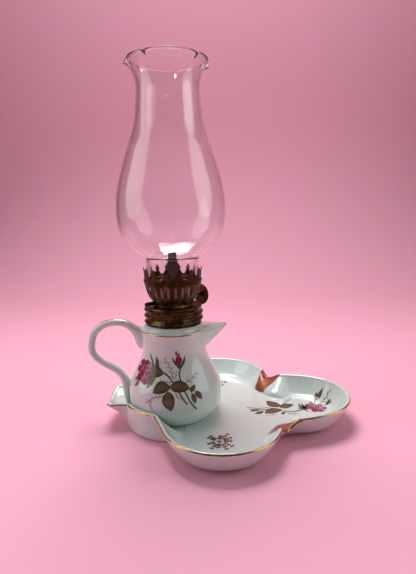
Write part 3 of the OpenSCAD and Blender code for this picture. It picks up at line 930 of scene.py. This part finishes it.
def make_crown(material):
    steps = 12
    half = math.pi / PRONG_COUNT * PRONG_RING_R
    lean = smooth([(16.86, 90.62), (16.88, 92), (17.0, 93.6), (17.2, 95), (17.5, 96.5)], 6)
    points = []
    faces = []
    for i in range(PRONG_COUNT):
        middle = (i + 0.5) * 360 / PRONG_COUNT + CROWN_TURN
        rows = [(r, z, half) for r, z in smooth(CROWN_BAND, 2)]
        rows += [(float(np.interp(z, lean[:, 1], lean[:, 0])), z, w) for z, w in PRONG_SHAPE[1:]]
        first = len(points)
        for r, z, w in rows:
            for k in range(steps + 1):
                share = (2 * k / steps - 1) * w / half
                points.append((*polar(r, middle + share * 180 / PRONG_COUNT), z))
        faces += shifted(grid_faces(len(rows), steps + 1, closed_columns=False), first)
    points, faces = weld(points, faces)
    crown = make_piece("pronged_crown", points, faces, "burner", material, ["crown"])
    thicken(crown, CROWN_SHEET, SHEET_EDGE_A)


# ---- Wick, its tube, and the knob

KNOB_AZIMUTH = 45.0
TUBE_TOP_Z = 100.0
TUBE_BOTTOM_Z = 66.0
WICK_TOP_Z = 105.8
WICK_BOTTOM_Z = 15.5
WICK_W = 6.0
WICK_T = 2.2
SHAFT_Z = 76.0
SHAFT_OFFSET = 3.2
KNOB_R = 6.75
KNOB_S = 25.4
KNOB_T = 1.2
KNOB_COLUMNS = 120


def along_shaft(points):
    """Turns points from the shaft's own axes, with x along the shaft, to the lamp's."""
    a = math.radians(KNOB_AZIMUTH)
    points = np.asarray(points, float)
    x, y, z = points[..., 0], points[..., 1], points[..., 2]
    return np.stack([x * math.cos(a) - y * math.sin(a), x * math.sin(a) + y * math.cos(a), z],
                    axis=-1)


def slot_loop(w, t, z, steps=12):
    """A flat oval, w long and t across."""
    ends = [(side * (w - t) / 2, side) for side in (1, -1)]
    turn = np.linspace(-math.pi / 2, math.pi / 2, steps + 1)
    return [(x + side * t / 2 * math.cos(a), side * t / 2 * math.sin(a), z)
            for x, side in ends for a in turn]


def make_wick_tube(material):
    w = WICK_W + 1.0
    t = WICK_T + 1.1
    outline = [(0, TUBE_BOTTOM_Z), (0, 94), (0, 98.9), (0.12, 99.2), (0, 99.5), (-0.05, 99.8),
               (-0.2, TUBE_TOP_Z), (-0.55, TUBE_TOP_Z), (-0.7, 99.8), (-0.7, TUBE_BOTTOM_Z)]
    loops = [slot_loop(w + d, t + d, z) for d, z in outline]
    make_loft("wick_tube_rolled", along_shaft(loops), "burner", material,
              ["wick_tube"], tube=True)


def make_wick(material):
    """Flat cotton tape: ribs of cross threads, and a burnt, uneven top."""
    rib = 0.75
    draw = random.Random(11)
    loops = []
    heights = np.arange(WICK_BOTTOM_Z, WICK_TOP_Z - 0.7, rib / 6)
    for z in heights:
        swell = 0.16 * math.cos(2 * math.pi * z / rib) - 0.17
        loops.append(slot_loop(WICK_W + swell, WICK_T + swell, z))
    top = WICK_TOP_Z - 0.5
    for shrink, rise in [(0.1, 0.0), (0.35, 0.22), (0.8, 0.32), (1.3, 0.3)]:
        ring = slot_loop(WICK_W - shrink, WICK_T - shrink, top + rise)
        loops.append([(x, y, z + draw.uniform(-0.1, 0.16)) for x, y, z in ring])
    make_loft("woven_wick", along_shaft(loops), "wick", material, ["wick"],
              sharp=80)


def make_knob(material):
    """A stamped disc with a rolled edge, four soft swells and a riveted hub."""
    turn = turns(KNOB_COLUMNS)
    face = [(0.72, -1.2), (1.5, -1.2), (1.7, -0.9), (1.75, -0.1), (2.1, 0.3), (3.2, 0.34),
            (4.8, 0.3), (5.5, 0.2), (5.9, 0.05), (6.25, 0.0), (6.6, 0.12), (KNOB_R, 0.5),
            (KNOB_R, 0.75), (6.6, 1.08), (6.2, KNOB_T), (5.6, 1.12), (4.8, 1.0), (2.6, 1.0),
            (1.9, 1.15), (0.72, 1.15)]
    loops = []
    for r, s in smooth(face + face[:1], 3)[:-1]:
        dish = 0.12 * math.exp(-((r - 3.9) / 1.3) ** 2)
        side = KNOB_S + s + dish * np.cos(4 * turn)
        loops.append(np.column_stack([side, SHAFT_OFFSET + r * np.cos(turn),
                                      SHAFT_Z + r * np.sin(turn)]))
    make_loft("stamped_knob", along_shaft(loops), "raiser", material, ["knob"],
              tube=True)


# ---- Chimney

CHIMNEY_TOP_Z = 211.0
BULB_R = 31.6
GLASS_T = 1.6
CHIMNEY_OUTLINE = [
    (15.6, 89), (15.7, 99.4), (16, 102.3), (18.8, 104.3), (24.7, 109), (28.1, 113.7),
    (30.2, 118.3), (31.2, 123), (BULB_R, 129), (31.1, 137), (29.8, 144.6), (27, 154.7),
    (24.3, 163.4), (21, 172), (19.2, 179.5), (18.6, 186), (18, 192.5), (18, 198.5),
    (19.5, 204), (21.5, 208.2), (22.5, 210.4)
]
CRIMP_ANGLES = [-116, -44, 18, 82, 142, 186]
CRIMP_Z = 204.5
CRIMP_W = 4.6
CRIMP_DROP = 1.2
CRIMP_OUT = 1.5
GLASS_COLUMNS = 360


def make_chimney(material):
    turn = np.arange(GLASS_COLUMNS) * 360 / GLASS_COLUMNS
    gaps = [np.abs((turn - c + 540) % 360 - 180) for c in CRIMP_ANGLES]
    pinch = np.max([np.exp(-(g / CRIMP_W) ** 2) for g in gaps], axis=0)
    sharp_pinch = np.max([np.exp(-(g / (CRIMP_W * 0.45)) ** 2) for g in gaps], axis=0)
    outside = smooth(CHIMNEY_OUTLINE, 8)
    inside = [(r - GLASS_T, z) for r, z in outside[:-1]][::-1]
    lip = smooth([outside[-1], (22.6, 210.72), (22.25, CHIMNEY_TOP_Z - 0.03),
                  (21.6, CHIMNEY_TOP_Z - 0.03), (21.05, 210.8), (20.8, 210.4), inside[0]], 3)[1:-1]
    foot = [(14.3, 89.15), (14.8, 89.02), (15.2, 89.02)]
    loops = []
    for kind, outline in ((1, outside), (0, lip), (-1, inside), (1, foot)):
        for r, z in outline:
            share = (max(0, (z - CRIMP_Z) / (CHIMNEY_TOP_Z - CRIMP_Z))) ** 2
            bead = 0.5 * kind * sharp_pinch * share
            radius = r + CRIMP_OUT * pinch * share + bead
            height = z - CRIMP_DROP * pinch * share - 0.5 * sharp_pinch * share
            loops.append(ring(radius, np.radians(turn), height))
    make_loft("pinched_chimney", loops, "chimney", material, ["chimney"],
              tube=True, sharp=80)


# ---- Printed flowers
# Each shape is a thin relief that follows the glaze. It is drawn on a flat sheet in
# millimetres, then laid on a surface.

PETAL, LEAF, STEM, TWIG, SPRIG = range(5)
INK_SINK = 0.12         # how far a print reaches into the glaze, to close it
SLOPE_STEP = 0.3        # how far apart heights are taken to find a slope


def jug_radius(z):
    return float(np.interp(z, JUG_PROFILE[:, 1], JUG_PROFILE[:, 0]))


def jug_surface(u, v):
    """A point on the jug: u is the arc to the right of its front, v the height."""
    r = jug_radius(v)
    above = jug_radius(v + SLOPE_STEP)
    below = jug_radius(v - SLOPE_STEP)
    a = math.radians(FRONT_A) + u / r
    slope = (above - below) / (2 * SLOPE_STEP)
    normal = unit([math.cos(a), math.sin(a), -slope])
    return np.array([r * math.cos(a), r * math.sin(a), v]), normal


def tray_height(x, y):
    d = math.hypot(max(0.0, x - END_CENTRE[0]), y) if x > SIDE_CENTRE[0] + 20 else 0.0
    low = END_LOBE_R - FLARE - 1
    v = min(1.0, max(0.0, (d - low) / (END_LOBE_R - RIM_T - low)))
    return FLOOR_H + (HIGH_RIM_H - 1 - FLOOR_H) * v ** 1.8


def tray_surface(u, v):
    """A point on the tray's inside: u and v are x and y."""
    z = tray_height(u, v)
    dx = (tray_height(u + SLOPE_STEP, v) - z) / SLOPE_STEP
    dy = (tray_height(u, v + SLOPE_STEP) - z) / SLOPE_STEP
    return np.array([u, v, z]), unit([-dx, -dy, 1])


class Sheet:
    """Flat shapes with their ink, their place across and along, and their height."""

    def __init__(self):
        self.points = []
        self.lifts = []
        self.uvs = []
        self.faces = []
        self.inks = []

    def add_grid(self, grid, uvs, ink, lift, closed=False):
        rows, columns = len(grid), len(grid[0])
        first = len(self.points)
        self.points += [p for row in grid for p in row]
        self.uvs += [p for row in uvs for p in row]
        self.lifts += [lift] * (rows * columns)
        faces = grid_faces(rows, columns, closed_columns=closed)
        self.faces += shifted(faces, first)
        self.inks += [ink] * len(faces)

    def leaf(self, base, tip, width, bend=0.0, ink=LEAF, lift=0.05, teeth=7, blunt=0.85):
        """A pointed leaf from its base to its tip, with a toothed edge."""
        base, tip = np.array(base, float), np.array(tip, float)
        ahead = tip - base
        side = np.array([-ahead[1], ahead[0]]) / np.linalg.norm(ahead)
        rows = 22
        shares = np.linspace(-1, 1, 9)
        grid = []
        uvs = []
        for i in range(rows + 1):
            t = i / rows
            half = width / 2 * math.sin(math.pi * t ** blunt) ** 0.8 if 0 < i < rows else 0.02
            half *= 1 + 0.09 * ((t * teeth) % 1 - 0.5) * (teeth > 0)
            middle = base + ahead * t + side * bend * math.sin(math.pi * t)
            grid.append([middle + side * half * q for q in shares])
            uvs.append([(q, t) for q in shares])
        self.add_grid(grid, uvs, ink, lift)

    def stem(self, path, start_w, end_w, ink=STEM, lift=0.03):
        """A line that swells or tapers along its path."""
        curve = smooth(path, 6)
        ahead = np.gradient(curve, axis=0)
        side = np.column_stack([-ahead[:, 1], ahead[:, 0]])
        side /= np.linalg.norm(side, axis=1)[:, None]
        last = len(curve) - 1
        grid = []
        uvs = []
        for i, (p, s) in enumerate(zip(curve, side)):
            half = mix(start_w, end_w, i / last) / 2
            grid.append([p + s * half * q for q in (-1, 0, 1)])
            uvs.append([(q, i / last) for q in (-1, 0, 1)])
        self.add_grid(grid, uvs, ink, lift)

    def petal(self, middle, length, width, angle, lift, skew=0.0, wave=0.08, ink=PETAL, seed=0):
        """A rounded petal. Its middle is its darkest part."""
        draw = random.Random(seed)
        phase = draw.uniform(0, 6.28)
        turn = turns(28)
        c, s = math.cos(math.radians(angle)), math.sin(math.radians(angle))
        middle = np.array(middle, float)
        grid = []
        uvs = []
        for share in (0.04, 0.35, 0.65, 0.88, 1.0):
            ring = []
            for a in turn:
                r = 1 + wave * math.sin(3 * a + phase) + wave * 0.6 * math.sin(5 * a - phase)
                x = share * r * length / 2 * math.cos(a)
                y = share * r * width / 2 * math.sin(a) * (1 + skew * math.cos(a))
                x += (1 - share) * length * 0.22
                ring.append(middle + np.array([x * c - y * s, x * s + y * c]))
            grid.append(ring)
            uvs.append([(share, 0.5 + 0.5 * math.sin(a)) for a in turn])
        self.add_grid(grid[::-1], uvs[::-1], ink, lift, closed=True)
        first = len(self.points) - len(turn)
        self.faces.append(tuple(range(first, first + len(turn))))
        self.inks.append(ink)

    def twig(self, path, width, seed, ink=TWIG, rib=1.5, gap=1.1, lift=0.035):
        """A mossy twig: a thin line with short side ribs, each with a bud."""
        self.stem(path, width, width * 0.6, ink, lift)
        draw = random.Random(seed)
        curve = smooth(path, 12)
        steps = np.linalg.norm(np.diff(curve, axis=0), axis=1)
        length = np.concatenate([[0], np.cumsum(steps)])
        side = 1
        at = gap * 0.8
        while at < length[-1]:
            p = np.array([np.interp(at, length, curve[:, k]) for k in (0, 1)])
            q = np.array([np.interp(at + 0.2, length, curve[:, k]) for k in (0, 1)])
            heading = math.atan2(*(q - p)[::-1]) + side * math.radians(draw.uniform(38, 62))
            reach = rib * draw.uniform(0.65, 1.15) * (1 - 0.35 * at / length[-1])
            end = p + toward(heading, reach)
            bow = p + toward(heading - side * 0.3, reach * 0.5)
            self.stem([p, bow, end], width * 0.85, width * 0.6, ink, lift)
            self.petal(end, width * 1.3, width * 1.1, math.degrees(heading), lift + 0.01, ink=ink)
            side = -side
            at += gap * draw.uniform(0.75, 1.2)

    def lay(self, name, surface, materials):
        """Lays the sheet on a surface and closes it into a thin relief."""
        placed = [surface(*p) for p in self.points]
        points = [p + n * lift for (p, n), lift in zip(placed, self.lifts)]
        faces = []
        for face in self.faces:
            corners = [np.asarray(points[k]) for k in face[:3]]
            looks = np.cross(corners[1] - corners[0], corners[2] - corners[1])
            faces.append(face if looks @ placed[face[0]][1] > 0 else face[::-1])
        piece = make_piece(name, points, faces, "lamp", materials[0])
        for extra in materials[1:]:
            piece.data.materials.append(extra)
        piece.data.polygons.foreach_set("material_index", self.inks)
        layer = piece.data.uv_layers.new(name="print")
        corners = np.array([loop.vertex_index for loop in piece.data.loops])
        layer.data.foreach_set("uv", np.array(self.uvs, float)[corners].ravel())
        thicken(piece, INK_SINK, 60)


def draw_rose(sheet, middle, size, facing, depth=1.0):
    """A full rose seen from the side. facing is the way it opens, in degrees, and depth
    stretches it that way."""
    middle = np.array(middle, float)
    first = len(sheet.points)
    c, s = math.cos(math.radians(facing)), math.sin(math.radians(facing))

    def at(ahead, aside):
        return middle + size * np.array([ahead * c - aside * s, ahead * s + aside * c])

    # Each petal: ahead, aside, length, width, its own turn.
    petals = [
        (0.10, 0.42, 0.62, 0.46, 62), (0.12, -0.44, 0.66, 0.46, -58),
        (0.38, 0.16, 0.60, 0.44, 24), (0.40, -0.22, 0.62, 0.42, -30),
        (-0.14, 0.34, 0.60, 0.40, 84), (-0.12, -0.32, 0.58, 0.42, -80),
        (0.16, 0.02, 0.60, 0.50, 8), (-0.10, 0.10, 0.52, 0.38, 35),
        (-0.06, -0.14, 0.46, 0.34, -28), (0.06, 0.0, 0.26, 0.22, 0)
    ]
    for i, (ahead, aside, length, width, turn) in enumerate(petals):
        sheet.petal(at(ahead, aside), length * size, width * size, facing + turn,
                    0.04 + 0.006 * i, skew=0.25, seed=i)
    opens = np.array([c, s])
    for k in range(first, len(sheet.points)):
        reach = (sheet.points[k] - middle) @ opens
        sheet.points[k] = sheet.points[k] + (depth - 1) * reach * opens


def draw_calyx(sheet, middle, size, facing):
    """The green cup behind a flower, with five long sepals."""
    middle = np.array(middle, float)
    for i, (turn, reach, w) in enumerate([(72, 1.45, 0.42), (34, 0.95, 0.55), (-4, 0.8, 0.6),
                                          (-40, 0.95, 0.55), (-80, 1.35, 0.4)]):
        a = math.radians(facing + turn)
        tip = middle + toward(a, size * reach)
        sheet.leaf(middle, tip, w * size, 0.08 * size * (1 if i % 2 else -1), LEAF, 0.1, 0, 0.6)
    sheet.leaf(middle + polar(size * 0.3, facing), middle - polar(size * 0.75, facing),
               size * 0.95, 0, LEAF, 0.095, 0, 0.55)


def jug_spray():
    sheet = Sheet()
    join = (-1.8, 34.2)
    # Mossy twigs, behind the rest.
    sheet.twig([(-0.6, 34.9), (-2.2, 38.4), (-3.0, 41.5), (-6.2, 46.0)], 0.42, 3, rib=2.6, gap=1.5)
    sheet.twig([(0.6, 34.9), (0.2, 37.2), (1.0, 39.6)], 0.34, 4, rib=1.3)
    sheet.twig([(5.2, 33.0), (7.8, 34.0), (10.6, 35.3), (13.1, 37.2)], 0.42, 5, rib=2.2, gap=1.4)
    sheet.twig([(-2.1, 34.2), (-5.6, 34.0), (-9.2, 34.8)], 0.36, 6, rib=1.3)
    sheet.twig([(-5.4, 27.6), (-10.5, 26.3), (-14.5, 24.7), (-18.1, 21.6)], 0.42, 7, rib=2.2,
               gap=1.5)
    sheet.twig([(-14.6, 24.6), (-15.6, 21.6), (-14.0, 18.2)], 0.36, 8, rib=1.5)
    sheet.twig([(-0.5, 28.6), (1.2, 26.4), (3.6, 24.6)], 0.34, 9, rib=0.8)
    # Stems.
    sheet.stem([(3.0, 40.4), (2.2, 37.4), (3.1, 34.2), (3.4, 31.5)], 0.9, 0.7)
    sheet.stem([(-6.4, 38.6), (-4.4, 37.2), (-3.0, 35.8), join, (0.4, 32.0)], 1.1, 0.7)
    sheet.stem([(1.0, 30.6), (2.4, 28.0), (4.2, 24.8), (6.4, 21.8)], 0.8, 0.95)
    sheet.stem([(3.6, 30.4), (5.4, 28.4), (8.1, 23.1), (11.8, 18.0)], 0.8, 1.0)
    sheet.stem([(7.6, 30.4), (8.8, 28.6), (9.4, 26.8)], 0.45, 0.35)
    # Leaves.
    sheet.leaf((-3.0, 31.9), (-13.6, 27.9), 6.1, -1.2)
    sheet.leaf((-3.4, 31.6), (8.2, 30.3), 6.0, 0.7, lift=0.06)
    sheet.leaf((-4.4, 29.4), (-2.8, 18.4), 7.2, -0.7, lift=0.055)
    sheet.leaf((8.2, 28.8), (11.6, 31.4), 2.8, -0.2, teeth=5)
    sheet.leaf((9.4, 27.4), (11.3, 21.4), 3.0, 0.2, teeth=5)
    sheet.leaf((11.2, 28.2), (15.8, 23.2), 3.0, 0.3, teeth=5)
    # The open rose, its calyx and small buds beside it.
    draw_calyx(sheet, (-11.0, 38.9), 6.2, 172)
    draw_rose(sheet, (-18.9, 37.8), 8.8, 200, 1.75)
    sheet.leaf((-12.4, 41.0), (-15.9, 48.2), 1.3, 0.3, lift=0.11, teeth=0)
    sheet.leaf((-10.6, 40.6), (-9.9, 45.4), 1.0, -0.2, lift=0.1, teeth=0)
    sheet.leaf((-14.9, 34.4), (-18.0, 29.4), 1.3, 0.3, lift=0.11, teeth=0)
    sheet.leaf((-24.6, 32.4), (-29.6, 28.4), 1.9, 0.4, SPRIG, teeth=0)
    sheet.leaf((-26.4, 33.4), (-30.8, 31.6), 1.6, 0.3, SPRIG, teeth=0)
    sheet.leaf((-26.0, 38.6), (-29.4, 36.4), 1.6, 0.3, SPRIG, teeth=0)
    # The closed bud.
    sheet.petal((2.1, 45.2), 5.6, 3.8, 90, 0.05, seed=21)
    sheet.petal((1.4, 44.9), 4.6, 2.2, 98, 0.056, seed=22)
    sheet.petal((2.8, 45.1), 4.4, 2.0, 84, 0.062, seed=23)
    sheet.leaf((3.0, 40.4), (1.8, 44.4), 2.6, 0.1, lift=0.07, teeth=0, blunt=0.6)
    sheet.leaf((3.0, 40.8), (-1.7, 47.0), 1.5, 0.5, lift=0.075, teeth=0)
    sheet.leaf((3.0, 40.8), (5.8, 47.6), 1.5, -0.5, lift=0.075, teeth=0)
    sheet.leaf((1.8, 47.2), (0.6, 51.0), 1.7, 0.2, SPRIG, lift=0.07, teeth=0)
    sheet.leaf((2.2, 47.2), (2.6, 49.6), 1.0, 0.1, lift=0.072, teeth=0)
    return sheet


def tray_spray():
    sheet = Sheet()
    sheet.twig([(68.3, 8.2), (72.0, 13.0), (75.7, 17.9)], 0.5, 13, rib=2.2, gap=1.6)
    sheet.twig([(92.6, 9.4), (96.2, 11.4), (99.6, 13.2)], 0.5, 14, rib=2.0, gap=1.3)
    sheet.twig([(62.5, -4.5), (59.0, -6.6), (56.0, -7.2)], 0.45, 15, rib=1.6, gap=1.2)
    sheet.twig([(69.0, -4.2), (72.6, -5.6), (75.4, -5.4)], 0.45, 16, rib=1.4, gap=1.2)
    sheet.stem([(81.0, 1.2), (77.0, -1.2), (72.6, -2.6), (67.0, -1.6), (62.0, 0.2), (53.0, 2.0),
                (44.8, 4.0)], 1.2, 0.7)
    sheet.stem([(66.0, -1.4), (58.0, -0.6), (50.4, 0.6), (46.0, 1.0)], 0.8, 0.8)
    sheet.stem([(66.4, 0.6), (60.0, 3.0), (53.0, 4.6)], 0.6, 0.5)
    sheet.stem([(89.4, 9.6), (90.2, 13.6), (92.8, 15.4)], 0.6, 0.8)
    sheet.stem([(94.6, 5.6), (96.6, 7.0)], 0.5, 0.6)
    sheet.leaf((66.2, 4.2), (58.6, 13.6), 7.2, 0.8)
    sheet.leaf((66.0, 3.0), (75.2, 7.6), 6.4, 0.8, lift=0.055)
    sheet.leaf((66.2, 1.0), (55.0, -4.6), 6.4, -0.8, lift=0.06)
    sheet.leaf((54.6, -1.6), (49.0, -5.0), 3.2, 0.3, teeth=5)
    sheet.leaf((52.6, 0.6), (46.4, -1.6), 2.8, -0.3, teeth=5)
    sheet.leaf((67.6, -2.8), (65.2, -6.2), 2.2, 0.2, teeth=5)
    draw_calyx(sheet, (80.2, 2.6), 4.6, 16)
    draw_rose(sheet, (87.0, 2.6), 9.4, 20, 1.2)
    sheet.leaf((78.6, 3.8), (79.2, 8.8), 1.4, 0.2, lift=0.11, teeth=0)
    sheet.leaf((88.0, 8.8), (86.8, 13.0), 1.8, 0.3, SPRIG, teeth=0)
    sheet.leaf((91.2, 14.4), (96.6, 17.8), 3.0, 0.2, lift=0.06, teeth=0)
    sheet.leaf((91.4, 14.2), (92.6, 19.0), 2.4, 0.2, lift=0.065, teeth=0)
    sheet.leaf((96.0, 6.4), (99.2, 9.0), 2.4, 0.2, lift=0.06, teeth=0)
    sheet.leaf((95.6, 6.8), (99.6, 6.6), 1.6, 0.2, lift=0.065, teeth=0)
    return sheet


def small_sprig(middle, reach, seed):
    """A tuft of tiny blossoms on fanned stalks."""
    draw = random.Random(seed)
    sheet = Sheet()
    root = np.array(middle, float) + np.array([-0.2, -0.1]) * reach
    for i in range(11):
        a = math.radians(-150 + i * 30 + draw.uniform(-9, 9))
        length = reach * draw.uniform(0.62, 1.0)
        end = root + toward(a, length)
        bow = root + toward(a + 0.25, length * 0.55)
        green = math.cos(a) < 0.1
        sheet.stem([root, bow, end], 0.35, 0.3, STEM if green else SPRIG)
        for k in (0.45, 0.7, 1.0):
            p = mix(root, end, k)
            for turn in (-60, 0, 60):
                tip = p + toward(a + math.radians(turn), 0.2 * reach)
                ink = (LEAF if green else SPRIG) if turn else SPRIG
                sheet.leaf(p, tip, 0.12 * reach, 0.05, ink, 0.05, 0)
    return sheet


def make_prints():
    inks = [
        print_material("rose_ink", [(0.0, (0.09, 0.001, 0.018)), (0.5, (0.22, 0.003, 0.055)),
                                    (0.85, (0.34, 0.02, 0.11)), (1.0, (0.60, 0.22, 0.34))]),
        print_material("leaf_ink", [(0.0, (0.20, 0.095, 0.07)), (0.4, (0.14, 0.085, 0.045)),
                                    (0.7, (0.065, 0.07, 0.016)), (1.0, (0.025, 0.028, 0.006))],
                       7, (0.07, 0.045, 0.02)),
        print_material("stem_ink", [(0.0, (0.13, 0.085, 0.035)), (1.0, (0.06, 0.035, 0.015))]),
        print_material("twig_ink", [(0.0, (0.22, 0.03, 0.14)), (1.0, (0.30, 0.09, 0.21))]),
        print_material("sprig_ink", [(0.0, (0.36, 0.11, 0.06)), (1.0, (0.17, 0.055, 0.03))])
    ]
    jug_spray().lay("jug_rose_print", jug_surface, inks)
    tray_spray().lay("tray_rose_print", tray_surface, inks)
    small_sprig((27.9, -36.9), 8.7, 31).lay("front_sprig_print", tray_surface, inks)
    small_sprig((24.0, 46.0), 10.5, 32).lay("back_sprig_print", tray_surface, inks)


# ---- The whole lamp

def dress_frame(materials):
    """Gives each carried-over CAD part its finish."""
    finish = {
        "collar_cement": "cement", "base_plate": "aged", "air_distributor": "zinc",
        "wheel_housing": "aged", "shaft_sleeves": "black", "raiser_shaft": "black",
        "spur_wheels": "aged"
    }
    for name, kind in finish.items():
        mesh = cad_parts[name].data
        mesh.materials.clear()
        mesh.materials.append(materials[kind])


def build():
    scene.view_settings.view_transform = "Standard"
    make_camera()
    make_floor()
    make_lights()
    materials = {
        "porcelain": porcelain_material(),
        "aged": patina_material("aged_brass", (0.018, 0.006, 0.002), (0.075, 0.034, 0.010),
                                (0.25, 0.20, 0.075), 0.3),
        "dark": patina_material("dark_brass", (0.012, 0.004, 0.002), (0.060, 0.018, 0.005),
                                (0.14, 0.095, 0.03), 0.34, 0.6),
        "zinc": patina_material("dull_zinc", (0.42, 0.41, 0.33), (0.66, 0.65, 0.55),
                                (0.80, 0.79, 0.70), 0.5, 0.3, 0.2),
        "black": patina_material("blackened_steel", (0.010, 0.009, 0.008), (0.03, 0.026, 0.022),
                                 (0.07, 0.06, 0.05), 0.45),
        "cement": cement_material()
    }
    make_tray(materials["porcelain"])
    make_jug(materials["porcelain"])
    make_handle(materials["porcelain"])
    make_collar(materials["aged"])
    make_screw_shell(materials["aged"])
    make_neck_ring(materials["aged"])
    make_basket(materials["dark"])
    make_crown(materials["dark"])
    make_wick_tube(materials["dark"])
    make_wick(wick_material())
    make_knob(materials["dark"])
    make_chimney(glass_material())
    make_prints()
    dress_frame(materials)


build()
